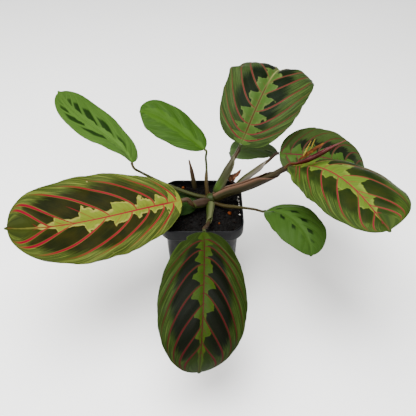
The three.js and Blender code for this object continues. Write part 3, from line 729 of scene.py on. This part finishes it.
def margin_inset(leaf, t, across):
    """How far a blade's margin is drawn in: uneven along both sides, with a bite on some."""
    side = 1 if across > 0 else -1
    uneven = noise.noise(Vector((t * 6, 3 * side, leaf["half"]))) + 0.4
    nicks = noise.noise(Vector((t * 21, 5 * side, leaf["half"]))) + 0.4
    inset = leaf.get("uneven", MARGIN_UNEVEN) * max(0, uneven) + MARGIN_NICKS * max(0, nicks)
    bite_at, bite_side, bite_depth = leaf.get("bite", (0, 0, 0))
    if across * bite_side > 0:
        inset += bite_depth * math.exp(-((t - bite_at) / BITE_LONG) ** 2)
    return inset


def raised_face(leaf, t, across, run, phase, spacing):
    """How far a blade's face stands proud: puckered between veins, sunk over the midrib, swollen
    in places, and flat at both ends."""
    pucker = math.sin(math.pi * (phase % 1)) ** 2 * min(1, spacing / 8) * PUCKER
    pucker *= min(1, abs(across) * 6) * (1 - abs(across) ** 5)
    groove_deep, groove_wide = leaf.get("groove", MIDRIB_GROOVE)
    raised = pucker - groove_deep * math.exp(-(run / groove_wide) ** 2)
    for place, where, height, long, broad in leaf.get("swells", ()):
        raised += height * math.exp(-((t - place) / long) ** 2 - ((across - where) / broad) ** 2)
    return raised * min(1, t * 14) * min(1, (1 - t) * 10)


def grow_blade(key, materials, cells):
    """A blade from a flat grid: laid along its spine, cupped, puckered between its side veins and
    marked with the maps that its colours follow. It stays within the box of its solid."""
    leaf = BLADES[key]
    marks = VEINS[key]
    law = marks["law"]
    rows, columns = cells
    clear = BLADE_THICK / 2 + BLADE_CLEAR
    lowest, highest = ([value / MM for value in corner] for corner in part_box("leaf_" + key))
    length = sum((spine_point(leaf["spine"], (n + 1) / 20) - spine_point(leaf["spine"], n / 20)).length
                 for n in range(20))
    mesh = bmesh.new()
    bmesh.ops.create_grid(mesh, x_segments=rows, y_segments=columns, size=1)
    mesh.verts.ensure_lookup_table()
    mesh.verts.index_update()
    facts = []
    for vert in mesh.verts:
        t = row_place(round((vert.co.x + 1) / 2 * rows), rows)
        across = round(vert.co.y * columns / 2) / (columns / 2)
        inset = margin_inset(leaf, t, across) * abs(across) ** 3
        point, lift, run = blade_point(leaf, t, across * (1 - inset))
        sides = {}
        for name in ("left", "right"):
            phase, gap, forward = among_veins(marks[name], t, abs(across), law)
            lean = forward * length / max(half_width(leaf, t), 2)
            middle = among_veins(marks[name], t, 0, law)[0]
            sides[name] = (phase, gap * length / math.sqrt(1 + lean * lean), middle)
        phase, spacing, middle = sides["left" if across > 0 else "right"]
        moved = point + lift * raised_face(leaf, t, across, run, phase, spacing)
        vert.co = [min(max(value, low + clear), high - clear)
                   for value, low, high in zip(moved, lowest, highest)]
        facts.append((t, across, sides, run))
    layers = {name: mesh.loops.layers.uv.new(name)
              for name in ("blade", "veins", "reach", "depth", "span", "middle")}
    for face in mesh.faces:
        name = "left" if sum(facts[vert.index][1] for vert in face.verts) > 0 else "right"
        fork_space, fork_far = marks.get("fork", {}).get(name, NO_FORK)
        for loop in face.loops:
            t, across, sides, run = facts[loop.vert.index]
            phase, spacing, middle = sides[name]
            pale, dark, depth = (between_values(marks[name + part], phase)
                                 for part in ("_pale", "_dark", "_depth"))
            forks = fork_far if abs(phase - fork_space - 0.5) < 0.6 else FORK_REST
            loop[layers["blade"]].uv = (t, 0.5 + across / 2)
            loop[layers["veins"]].uv = (phase, spacing / SPACING_MM)
            loop[layers["reach"]].uv = (pale, dark)
            loop[layers["depth"]].uv = (depth, forks)
            loop[layers["span"]].uv = (run / SPAN_MM, t * length / SPAN_MM)
            loop[layers["middle"]].uv = (middle, 0)
    finish_piece(mesh, "blade_" + key, ["leaf_" + key], materials, thick=BLADE_THICK)


def curve_through(points, steps):
    """A smooth curve through the points, cut in equal lengths."""
    given = [Vector(point) for point in points]
    ends = [given[0] * 2 - given[1]] + given + [given[-1] * 2 - given[-2]]
    fine = []
    for number in range(len(given) - 1):
        p0, p1, p2, p3 = ends[number:number + 4]
        d0, d1, d2 = (max((b - a).length ** 0.5, 1e-4) for a, b in ((p0, p1), (p1, p2), (p2, p3)))
        m1 = ((p1 - p0) / d0 - (p2 - p0) / (d0 + d1) + (p2 - p1) / d1) * d1
        m2 = ((p2 - p1) / d1 - (p3 - p1) / (d1 + d2) + (p3 - p2) / d2) * d1
        for part in range(24):
            s = part / 24
            fine.append(p1 * (2 * s ** 3 - 3 * s * s + 1) + m1 * (s ** 3 - 2 * s * s + s)
                        + p2 * (3 * s * s - 2 * s ** 3) + m2 * (s ** 3 - s * s))
    fine.append(given[-1])
    runs = [0]
    for a, b in zip(fine, fine[1:]):
        runs.append(runs[-1] + (b - a).length)
    cut = []
    place = 0
    for step in range(steps + 1):
        wanted = runs[-1] * step / steps
        while place < len(fine) - 2 and runs[place + 1] < wanted:
            place += 1
        share = (wanted - runs[place]) / max(runs[place + 1] - runs[place], 1e-6)
        cut.append(fine[place].lerp(fine[place + 1], share))
    return cut


def across_curve(centres, number, reference=UP):
    """Two directions across a curve at one of its points: to its right, and over it."""
    ahead = centres[min(number + 1, len(centres) - 1)] - centres[max(number - 1, 0)]
    ahead.normalize()
    right = ahead.cross(reference).normalized()
    return right, right.cross(ahead)


def radius_at(radii, share):
    for (a, first), (b, second) in zip(radii, radii[1:]):
        if share <= b:
            ease = (share - a) / (b - a)
            ease = ease * ease * (3 - 2 * ease)
            return first + (second - first) * ease
    return radii[-1][1]


def stalk_path(stalk):
    """The stalk's points, with the two that bring it into line with its blade."""
    spine = BLADES[stalk["blade"]]["spine"]
    root = Vector(spine[0])
    along = (Vector(spine[1]) - root).normalized()
    return list(stalk["path"]) + [root - along * (GAP + stalk["turn"]), root - along * GAP]


def ribbed(share, angle):
    """The slight ribs and channel of a stalk."""
    return 1 + 0.03 * math.sin(7 * angle) + 0.02 * math.sin(11 * angle + 5 * share)


def lobed(share, angle):
    """The crown, out of round where old stalks have grown together."""
    return 0.95 + 0.07 * math.sin(3 * angle + 4 * share)


def rolled_tube(points, radii, sides=20, steps=60, shape=ribbed, reference=UP):
    """A tube rolled from a flat grid along a curve; its ends run to a point. shape changes the
    radius by share and angle."""
    centres = curve_through(points, steps)
    last = steps + 2
    mesh = bmesh.new()
    bmesh.ops.create_grid(mesh, x_segments=last, y_segments=sides, size=1)
    run = mesh.loops.layers.uv.new("run")
    places = {vert: (round((vert.co.x + 1) / 2 * last), round((vert.co.y + 1) / 2 * sides))
              for vert in mesh.verts}
    for face in mesh.faces:
        for loop in face.loops:
            step, turn = places[loop.vert]
            loop[run].uv = (min(max(step - 1, 0), steps) / steps, turn / sides)
    for vert, (step, turn) in places.items():
        number = min(max(step - 1, 0), steps)
        right, over = across_curve(centres, number, reference)
        share = number / steps
        angle = 2 * math.pi * (turn % sides) / sides
        radius = 0 if step in (0, last) else radius_at(radii, share) * shape(share, angle)
        vert.co = centres[number] + (right * math.cos(angle) + over * math.sin(angle)) * radius
    bmesh.ops.remove_doubles(mesh, verts=mesh.verts, dist=1e-3)
    bmesh.ops.recalc_face_normals(mesh, faces=mesh.faces)
    return mesh


def marked_grid(rows, columns):
    """A flat grid whose map, called run, holds its own place from 0 to 1 each way."""
    mesh = bmesh.new()
    bmesh.ops.create_grid(mesh, x_segments=rows, y_segments=columns, size=1)
    run = mesh.loops.layers.uv.new("run")
    for face in mesh.faces:
        for loop in face.loops:
            loop[run].uv = ((loop.vert.co.x + 1) / 2, (loop.vert.co.y + 1) / 2)
    return mesh


def clasp_sheath(key, material):
    """A thin sheath round the foot of a stalk: a grid wrapped about it, open along one side, where
    its edges lift a little, and narrowing to a point at the top."""
    stalk = STALKS[key]
    sheath = SHEATHS[key]
    centres = curve_through(stalk_path(stalk), STALK_CUTS)
    mesh = marked_grid(*SHEATH_CELLS)
    for vert in mesh.verts:
        share = (vert.co.x + 1) / 2
        spread = vert.co.y
        place = sheath["start"] + (sheath["end"] - sheath["start"]) * share
        number = min(max(round(place * STALK_CUTS), 1), STALK_CUTS - 1)
        centre = centres[number - 1].lerp(centres[number], 0.5).lerp(
            centres[number].lerp(centres[number + 1], 0.5), place * STALK_CUTS - number + 0.5)
        right, over = across_curve(centres, number)
        closing = min(1, max(0, (share - SHEATH_CLOSES) / (1 - SHEATH_CLOSES)))
        wrap = math.radians(SHEATH_WRAP) * (1 - 0.86 * closing ** 1.6)
        angle = math.radians(sheath["slit"] + 180) + spread * wrap
        radius = radius_at(stalk["radii"], place) * ribbed(share, angle) + SHEATH_CLEAR
        radius += SHEATH_LIFT * abs(spread) ** 12 * (1 - closing * 0.5)
        vert.co = centre + (right * math.cos(angle) + over * math.sin(angle)) * radius
    bmesh.ops.recalc_face_normals(mesh, faces=mesh.faces)
    finish_piece(mesh, "sheath_" + key, [NODES[key]], [material], thick=0.3)


def inner_radii(key):
    """The radii of the stalk within its sheath."""
    radii = STALKS[key]["radii"]
    if key not in SHEATHS:
        return radii
    end = SHEATHS[key]["end"]
    free = radius_at(radii, min(1, end + 0.06))
    return [(0, free * 0.9), (end, free * 0.95), (min(0.97, end + 0.06), free), (1, radii[-1][1])]


def rolled_leaf(material):
    """A young leaf still rolled up: a sheet wound round the stalk's line, its free edge slanting."""
    steps = 90
    centres = curve_through(ROLLED_LEAF["path"], steps)
    mesh = marked_grid(steps, 60)
    for vert in mesh.verts:
        share = (vert.co.x + 1) / 2
        wound = (vert.co.y + 1) / 2
        number = round(share * steps)
        right, over = across_curve(centres, number)
        angle = 2 * math.pi * ROLL_TURNS * wound + 2.2 * share + 2.4
        layer = ROLL_LAYER * (1 - wound) * ROLL_TURNS
        radius = max(radius_at(ROLLED_LEAF["radii"], share) - layer, 0.12 + 0.1 * wound)
        vert.co = centres[number] + (right * math.cos(angle) + over * math.sin(angle)) * radius
    bmesh.ops.recalc_face_normals(mesh, faces=mesh.faces)
    finish_piece(mesh, "rolled_blade", ["rolled_leaf"], [material], thick=0.2)


def dry_blade(name, leaf, node, material, cells=(60, 24), wrinkle=0.0, notch=0.0):
    """A small dried blade or bract, its face crumpled."""
    rows, columns = cells
    mesh = marked_grid(rows, columns)
    for vert in mesh.verts:
        t = row_place(round((vert.co.x + 1) / 2 * rows), rows)
        across = vert.co.y
        torn = 1 - notch * abs(noise.noise(Vector((t * 9, across * 0.4, 3))))
        point, lift = blade_point(leaf, t, across * torn)[:2]
        crease = noise.fractal(point * 0.5, 0.8, 2, 3) * wrinkle * math.sin(math.pi * t)
        vert.co = point + lift * crease
    finish_piece(mesh, name, [node], [material], thick=0.3)


def square_place(half, corner, share):
    """A point of a rounded square's outline, at a share of the way round it."""
    straight = 2 * (half - corner)
    quarter_run = straight + math.pi / 2 * corner
    quarter, run = divmod(share * 4 * quarter_run, quarter_run)
    if run < straight:
        x, y = half, -half + corner + run
    else:
        angle = (run - straight) / corner
        x, y = half - corner + corner * math.cos(angle), half - corner + corner * math.sin(angle)
    turn = (quarter % 4) * math.pi / 2
    return x * math.cos(turn) - y * math.sin(turn), x * math.sin(turn) + y * math.cos(turn)


def ring_edges(mesh, ring):
    return [mesh.edges.get((vert, ring[(n + 1) % len(ring)])) for n, vert in enumerate(ring)]


def extruded(mesh, edges):
    """The new points of these edges, once drawn out."""
    made = bmesh.ops.extrude_edge_only(mesh, edges=edges)["geom"]
    return [item for item in made if isinstance(item, bmesh.types.BMVert)]


def make_pot(material):
    """The pot from one ring, drawn up the outside, over the rim and down the inside."""
    mesh = bmesh.new()
    ring = bmesh.ops.create_circle(mesh, segments=POT_SIDES, radius=1)["verts"]
    rings = []
    for half, corner, z in POT_RINGS:
        if rings:
            fresh = set(extruded(mesh, ring_edges(mesh, ring)))
            ring = [next(edge.other_vert(old) for edge in old.link_edges
                         if edge.other_vert(old) in fresh) for old in ring]
        for number, vert in enumerate(ring):
            x, y = square_place(half, corner, number / POT_SIDES)
            vert.co = (x, y, z)
        rings.append(ring)
    holes = []
    for border in (rings[0], rings[-1]):
        edges = ring_edges(mesh, border)
        for x, y in ((1, 1), (-1, 1), (-1, -1), (1, -1)):
            hole = bmesh.ops.create_circle(mesh, segments=DRAIN_SIDES, radius=DRAIN_RADIUS)["verts"]
            for vert in hole:
                vert.co += Vector((x * DRAIN_PLACE, y * DRAIN_PLACE, border[0].co.z))
            holes.append(ring_edges(mesh, hole))
            edges += holes[-1]
        bmesh.ops.triangle_fill(mesh, use_beauty=True, edges=edges)
    for lower, upper in zip(holes[:4], holes[4:]):
        bmesh.ops.bridge_loops(mesh, edges=lower + upper)
    bmesh.ops.recalc_face_normals(mesh, faces=mesh.faces)
    finish_piece(mesh, "pot_shell", ["pot"], [material])


def soil_height(x, y):
    pitch = 2 * math.pi / SOIL_PITCH
    dome = math.cos(math.pi * x / 2 / SOIL_DOME) * math.cos(math.pi * y / 2 / SOIL_DOME)
    first = math.sin(pitch * x + 1.3) * math.sin(0.9 * pitch * y + 0.4)
    second = math.sin(pitch * (1.7 * x + 1.1 * y)) * math.sin(pitch * (1.3 * y - 0.8 * x) + 2)
    return SOIL_LEVEL + SOIL_RISE * dome + SOIL_CRUMB * (0.6 * first + 0.4 * second)


def lie_in_square(x, y, half, corner):
    """A point of the plain square drawn in to the rounded one."""
    reach = max(abs(x), abs(y))
    if reach < 1e-9:
        return 0, 0
    edge_x, edge_y = x / reach * half, y / reach * half
    over_x, over_y = abs(edge_x) - (half - corner), abs(edge_y) - (half - corner)
    if over_x > 0 and over_y > 0:
        pull = min(1, corner / math.hypot(over_x, over_y))
        edge_x = math.copysign(half - corner + over_x * pull, edge_x)
        edge_y = math.copysign(half - corner + over_y * pull, edge_y)
    return edge_x * reach, edge_y * reach


def make_soil(material):
    """The bed of peat: a fine grid heaved into crumbs, its sides drawn down inside the pot."""
    mesh = bmesh.new()
    bmesh.ops.create_grid(mesh, x_segments=SOIL_CELLS, y_segments=SOIL_CELLS, size=1)
    for vert in mesh.verts:
        x, y = lie_in_square(vert.co.x, vert.co.y, SOIL_HALF, SOIL_CORNER)
        rough = noise.fractal(Vector((x, y, 0)) * 0.55, 0.6, 2.1, 5) * 0.9
        vert.co = (x, y, soil_height(x, y) + rough - 0.2)
    for half, corner, z in SOIL_RINGS:
        for vert in extruded(mesh, [edge for edge in mesh.edges if edge.is_boundary]):
            reach = max(abs(vert.co.x), abs(vert.co.y))
            x, y = lie_in_square(vert.co.x / reach, vert.co.y / reach, half, corner)
            vert.co = (x, y, z)
    bmesh.ops.holes_fill(mesh, edges=[edge for edge in mesh.edges if edge.is_boundary], sides=0)
    bmesh.ops.recalc_face_normals(mesh, faces=mesh.faces)
    finish_piece(mesh, "soil_bed", ["soil"], [material])


def scatter_lumps(name, places, material, fine=1, rough=0.3, flat=0.75):
    """Lumps lying on the soil, each a small ball knocked out of round."""
    mesh = bmesh.new()
    for number, (x, y, radius) in enumerate(places):
        lump = bmesh.ops.create_icosphere(mesh, subdivisions=fine, radius=radius)["verts"]
        centre = Vector((x, y, soil_height(x, y) + radius * 0.35))
        for vert in lump:
            knock = noise.noise(vert.co / radius * 1.3 + Vector((number * 7.3, 0, 0)))
            out = vert.co * (1 + rough * knock)
            vert.co = Vector((out.x, out.y, out.z * flat)) + centre
    finish_piece(mesh, name, ["soil"], [material])


# The looks of the blades. Leaf skin is a satin wax over green tissue: it has hardly any shine of
# its own, so the pattern reads from every side. rib names the midrib's tones from root to tip.
SCAR_CREAM = "7c7448"
RIB_SHADE = "231c03"
LEFT_LOOK = dict(
    roughness=0.5, gloss=0.04, ground="323c10", ground_dark="1e2709", streak="646e2b",
    streaks=0.75, dark="101302", dark_warm="1f1d02", feather=0.52, hem=0.97, notch=0.38,
    band="5a641c", rim="8f8442", rim_share=0.6, border=0.5, border_tone="676124",
    border_share=0.35, vein="640018", vein_pale="57000f", vein_half=0.38, vein_swell=0.4,
    vein_stop=0.7, vein_taper=0.9, fork=0.7, scars=0.13, rib_half=0.75,
    rib=[(0, "band"), (0.08, "vein"), (0.68, "vein"), (0.78, "vein_pale"), (0.87, "ground")])
RIGHT_LOOK = dict(
    LEFT_LOOK, ground="293811", ground_dark="162305", streak="4f6124", streaks=0.6,
    dark="0e1a04", dark_warm="202506", band="455818", rim="687129", border_tone="595a1a",
    border_share=0.22, vein="620020", vein_pale="440b12", vein_half=0.28, vein_swell=0.18,
    vein_taper=0.55,
    rib=[(0, "band"), (0.08, "vein"), (0.7, "vein"), (0.92, "vein_pale"), (1, "ground")])
# The front blade hangs on edge, away from the light above: its colours are darkened as painted shade.
FRONT_LOOK = dict(
    LEFT_LOOK, ground="1a2707", ground_dark="0f1802", streak="314117", streaks=0.85,
    dark="040702", dark_warm="070803", band="203108", rim="303809", rim_share=0.4, border=0.4,
    border_tone="232506", vein="34040c", vein_pale="260e06", vein_half=0.26, vein_swell=0.3,
    vein_stop=0.8, vein_taper=0.8, scars=0.05, rib_half=0.42,
    rib=[(0, "band"), (0.1, "vein_pale"), (0.5, "vein"), (0.8, "vein_pale"), (1, "ground")])
BACK_LOOK = dict(
    LEFT_LOOK, ground="263315", ground_dark="19240e", streak="566e30", streaks=0.35,
    dark="040d02", dark_warm="070f02", band="2e4417", rim="686c3d", rim_share=0.25, border=0.45,
    border_tone="4e4f2b", vein="4c1018", vein_pale="34220e", vein_half=0.26, vein_swell=0.32,
    vein_stop=0.84, vein_taper=0.7, scars=0.06, rib_half=0.6,
    rib=[(0, "band"), (0.1, "vein_pale"), (0.4, "vein_pale"), (0.6, "rim"), (1, "rim")])
REAR_LOOK = dict(
    BACK_LOOK, ground="2f3f19", ground_dark="232f12", streak="404c2b", streaks=0.3,
    dark="0c1107", dark_warm="10150a", band="2e4617", rim="374b1d", rim_share=0.3,
    border_tone="314118", vein="47111d", vein_pale="311f0a", vein_half=0.22, vein_swell=0.26,
    rib=[(0, "band"), (0.1, "vein"), (0.8, "vein"), (1, "ground")])
YOUNG_LOOK = dict(
    BACK_LOOK, roughness=0.48, ground="38531d", ground_dark="2f4718", streak="435f25",
    dark="0f2005", dark_warm="122406", feather=0.14, hem=0.86, notch=0.95, band="3c5720",
    rim="3c5720", rim_share=0, border=0.4, border_tone="3c5620", border_share=0.12,
    vein="3f5a23", vein_pale="3b5620", vein_half=0.06, vein_swell=0.06, fork=0, scars=0,
    rib_half=0.4, rib=[(0, "band"), (1, "band")])
PLAIN_LOOK = dict(
    YOUNG_LOOK, ground="29420e", ground_dark="1e340a", dark="113304", dark_warm="113304",
    hem=0.7, band="2d4710", rim="2d4710", border_tone="2d4510", vein="2e4911", vein_pale="2b4510")
SPOTTED_LOOK = dict(
    YOUNG_LOOK, ground="2a4014", ground_dark="233810", streak="2c4316", dark="051102",
    dark_warm="071402", hem=0.72, band="2a4014", rim="2a4014", border_tone="2a4014",
    vein="2b4114", vein_pale="2a4014")
SHADED_LOOK = dict(
    YOUNG_LOOK, ground="455c33", ground_dark="3a4e2a", streak="4e673b", dark="22361c",
    dark_warm="253a1e", band="495f35", rim="495f35", vein="4b6537", vein_pale="495f35")
# The low young blade lies under the left blade: its colours are darkened as painted shade.
LOW_LOOK = dict(
    PLAIN_LOOK, ground="15270a", ground_dark="0f1e06", streak="16280a", band="16280a",
    rim="16280a", border_tone="16280a", vein="182b0b", vein_pale="16280a")

red_underside = leaf_underside("leaf skin, lower side flushed", dict(
    pale="56503a", flush="5c3636", shade="46402a", vein="6e3232"))
green_underside = leaf_underside("leaf skin, lower side green", dict(
    pale="576e31", flush="607634", shade="435b21", vein="707f34"))
for key, finish, look, underside, slot, cells in (
        ("left", "olive with red veins", LEFT_LOOK, red_underside, "olive_leaf", BIG_CELLS),
        ("right", "bright with red veins", RIGHT_LOOK, red_underside, "olive_leaf", BIG_CELLS),
        ("front", "dark green in painted shade", FRONT_LOOK, red_underside, "green_leaf", BIG_CELLS),
        ("back", "mid green", BACK_LOOK, red_underside, "green_leaf", BIG_CELLS),
        ("rear_right", "shaded green", REAR_LOOK, red_underside, "green_leaf", MIDDLE_CELLS),
        ("far_left", "young and spotted", YOUNG_LOOK, green_underside, "young_leaf", SMALL_CELLS),
        ("upper", "young and plain", PLAIN_LOOK, green_underside, "young_leaf", SMALL_CELLS),
        ("small_right", "young with dark marks", SPOTTED_LOOK, green_underside, "young_leaf",
         SMALL_CELLS),
        ("behind", "young and greyish", SHADED_LOOK, green_underside, "young_leaf", SMALL_CELLS),
        ("under", "young and low", LOW_LOOK, green_underside, "young_leaf", SMALL_CELLS)):
    grow_blade(key, [leaf_top("leaf skin, " + finish, look), underside], cells)

# Stalk skin is fleshy and ribbed with a dull shine, and browns towards the knee below the blade.
# A sheath is a thin dry skin whose edges turn pale.
STALK_SKINS = {
    "main_stem": ("stem skin, olive brown", [(0, "2b2c0c"), (0.3, "25240c"), (0.75, "231d0d"),
                                             (1, "1f160a")]),
    "left": ("stalk skin, pinkish brown", [(0, "272c0e"), (0.6, "332413"), (0.9, "35241a"),
                                           (1, "3c2b1c")]),
    "front": ("stalk skin, tan knee", [(0, "22340c"), (0.55, "2c300f"), (0.68, "2b1e14"),
                                       (0.95, "2c1f14"), (1, "24300b")]),
    "back": ("stalk skin, brown knee", [(0, "1f340c"), (0.6, "2a3012"), (0.78, "291a07"),
                                        (0.93, "1b0f06"), (1, "1f3002")]),
    "rear_right": ("stalk skin, dark knee", [(0, "33300f"), (0.7, "302410"), (0.82, "211105"),
                                             (1, "1b0f03")]),
    "far_left": ("stalk skin, thin pale", [(0, "281e0c"), (0.12, "262c0e"), (0.3, "2c3214"),
                                           (0.85, "2a2c10"), (1, "332c14")]),
    "upper": ("stalk skin, olive foot", [(0, "2c200c"), (0.5, "33290f"), (0.62, "222b0c"),
                                         (0.9, "25300c"), (1, "343a14")]),
    "small_right": ("stalk skin, olive", [(0, "281f0c"), (0.5, "2c2810"), (0.9, "262010"),
                                          (1, "262f10")]),
    "behind": ("stalk skin, grey green", [(0, "20280e"), (0.7, "131b0b"), (1, "10190b")]),
    "under": ("stalk skin, low green", [(0, "252502"), (1, "1f3002")]),
}
SHEATH_SKINS = {
    "left": stalk_skin("sheath skin, mauve grey", [(0, "2c2119"), (0.6, "2e231c"), (1, "38291f")],
                       edge="2e3812", edge_share=0.2, top="2e201a", top_share=0.7),
    "front": stalk_skin("sheath skin, pale green", [(0, "22300c"), (0.5, "263212"), (1, "33331c")],
                        edge="484c30", edge_share=0.24),
    "back": stalk_skin("sheath skin, grey green", [(0, "18280a"), (0.16, "2a450e"), (0.32, "27330f"),
                                                   (0.5, "282a15"), (1, "302c1e")],
                       edge="4c4b36", edge_share=0.14),
    "rear_right": stalk_skin("sheath skin, thin white", [(0, "292c0e"), (0.5, "303317"),
                                                         (1, "403729")],
                             edge="645e56", edge_share=0.3),
    # the main stem's sheath is paler pinkish tan where it faces up: partly its own stripe, partly
    # painted light
    "main_stem": stalk_skin("sheath skin, dark olive", [(0, "1d1e0a"), (0.4, "1b180a"),
                                                        (1, "1b1208")],
                            edge="4a3426", edge_share=0.1, top="482b1f", top_share=0.8,
                            top_from=0.68),
}
for key, stalk in STALKS.items():
    finish_piece(rolled_tube(stalk_path(stalk), inner_radii(key)), "stalk_piece_" + key, [NODES[key]],
                 [stalk_skin(*STALK_SKINS[key])])
for key in SHEATHS:
    clasp_sheath(key, SHEATH_SKINS[key])
crown_foot, crown_top = CROWN_RINGS[0][0], CROWN_RINGS[-1][0]
crown = rolled_tube([(*CROWN_FOOT, z) for z, radius in CROWN_RINGS],
                    [((z - crown_foot) / (crown_top - crown_foot), radius) for z, radius in CROWN_RINGS],
                    sides=32, steps=30, shape=lobed, reference=Vector((0, 1, 0)))
crown_skin = stalk_skin("crown skin, olive and brown", [(0, "150e03"), (0.6, "1a1808"),
                                                        (0.85, "1e2608"), (1, "1c2b0a")])
finish_piece(crown, "crown", ["main_stem"], [crown_skin])

# The rolled leaf is smooth and a little glossy, and its side that faces up carries a crimson
# painted highlight; the dry parts are dull, thin and crumpled.
maroon = stalk_skin("rolled leaf skin, maroon", [(0, "4a2e02"), (0.3, "360c05"), (0.55, "2a070a"),
                                                 (0.85, "351006"), (1, "583302")],
                    roughness=0.32, lines=60, strength=0.25, top="4c0416", top_share=0.7)
rolled_leaf(maroon)
straw = dry_tissue("dried bract edge, straw yellow", ["5a4a14", "766522", "8a7a35"])
dry_blade("bract_blade", BRACT, "dry_bract",
          dry_tissue("dried bract, orange brown", ["2e1208", "45230a", "5c3a10"]), wrinkle=0.5)
for number, sliver in enumerate(BRACT_SLIVERS):
    dry_blade("bract_sliver_%d" % (number + 1), sliver, "dry_bract", straw, cells=(30, 8), wrinkle=0.1)
dry_blade("dry_curl", DRY_LEAF, "dry_leaf",
          dry_tissue("dried leaf, terracotta", ["24130a", "3a2012", "523624"]), wrinkle=0.9,
          notch=0.3)
spike = rolled_tube(DRY_SPIKE["path"], DRY_SPIKE["radii"], sides=24, steps=50,
                    reference=Vector((0, 1, 0)))
spike_skin = stalk_skin("dried stub skin", [(0, "231f10"), (0.25, "2e2814"), (0.6, "3c2d20"),
                                            (1, "5a4436")], roughness=0.7, lines=24, strength=0.6)
finish_piece(spike, "dry_stub", ["dry_spike"], [spike_skin])

make_pot(moulded_pot())
make_soil(damp_peat("milled black peat", ["020202", "040302", "140b04"]))
draw = random.Random(11)
crumbs = []
while len(crumbs) < CRUMBS:
    x, y = draw.uniform(-CRUMB_REACH, CRUMB_REACH), draw.uniform(-CRUMB_REACH, CRUMB_REACH)
    if math.hypot(max(0, abs(x) - CRUMB_STRAIGHT), max(0, abs(y) - CRUMB_STRAIGHT)) < CRUMB_CORNER:
        crumbs.append((x, y, 0.35 + 1.05 * draw.random() ** 3))
scatter_lumps("peat_crumbs", crumbs, damp_peat("peat crumbs", ["020202", "080403", "201106"]),
              rough=0.7)
feed = dry_tissue("coated feed, orange brown", ["3a1604", "562306", "68360e"], scale=500,
                  roughness=0.35, strength=0.2)
scatter_lumps("feed_pellets", PELLETS, feed, fine=3, rough=0.12, flat=0.95)
# white grains where the inner rim glints: painted highlights
painted_glint = dry_tissue("perlite, grey white", ["868279", "a3a097", "b7b5ae"], scale=900, roughness=0.8)
scatter_lumps("painted_glint_grains", GRAINS, painted_glint, fine=2, rough=0.5)

# A plain white floor, three soft lamps (place in metres, size and power) and the camera.
floor_mesh = bmesh.new()
bmesh.ops.create_grid(floor_mesh, x_segments=2, y_segments=2, size=4)
floor_data = bpy.data.meshes.new("floor")
floor_mesh.to_mesh(floor_data)
floor_mesh.free()
floor = put("floor", floor_data)
floor_material, floor_node = new_material("painted floor, white", 0.9, specular=0.1)
floor_cloud = floor_node("TexNoise", floor_node("TexCoord", out=OBJECT), at={"Scale": 3})
floor_tone = floor_node("ValToRGB", floor_cloud, stops=[(0.3, "f4f4f2"), (0.7, "f8f8f7")])
floor_data.materials.append(coat(floor_material, floor_tone))

middle = Vector((0, 0, 0.09))
for name, place, size, power in (("overhead", (-0.15, -0.1, 1.1), 0.9, 36),
                                 ("front_fill", (0.3, -1.2, 0.8), 1.0, 14),
                                 ("left_fill", (-1.1, -0.2, 0.6), 0.8, 9)):
    lamp = bpy.data.lights.new(name, "AREA")
    lamp.shape = "SQUARE"
    lamp.size = size
    lamp.energy = power
    holder = put(name, lamp)
    holder.location = place
    holder.rotation_euler = (middle - Vector(place)).to_track_quat("-Z", "Y").to_euler()
world = bpy.data.worlds.new("studio")
bpy.context.scene.world = world
world.use_nodes = True
world.node_tree.nodes["Background"].inputs["Color"].default_value = (1, 1, 1, 1)
world.node_tree.nodes["Background"].inputs["Strength"].default_value = 0.7

lens = bpy.data.cameras.new("view")
lens.sensor_width = SENSOR_WIDTH
lens.lens = CAMERA_FOCUS / PICTURE_WIDTH * SENSOR_WIDTH
camera = put("view", lens)
camera.location = [value * MM for value in CAMERA_PLACE]
camera.rotation_euler = (math.radians(90 - CAMERA_DOWN), 0, 0)
bpy.context.scene.camera = camera
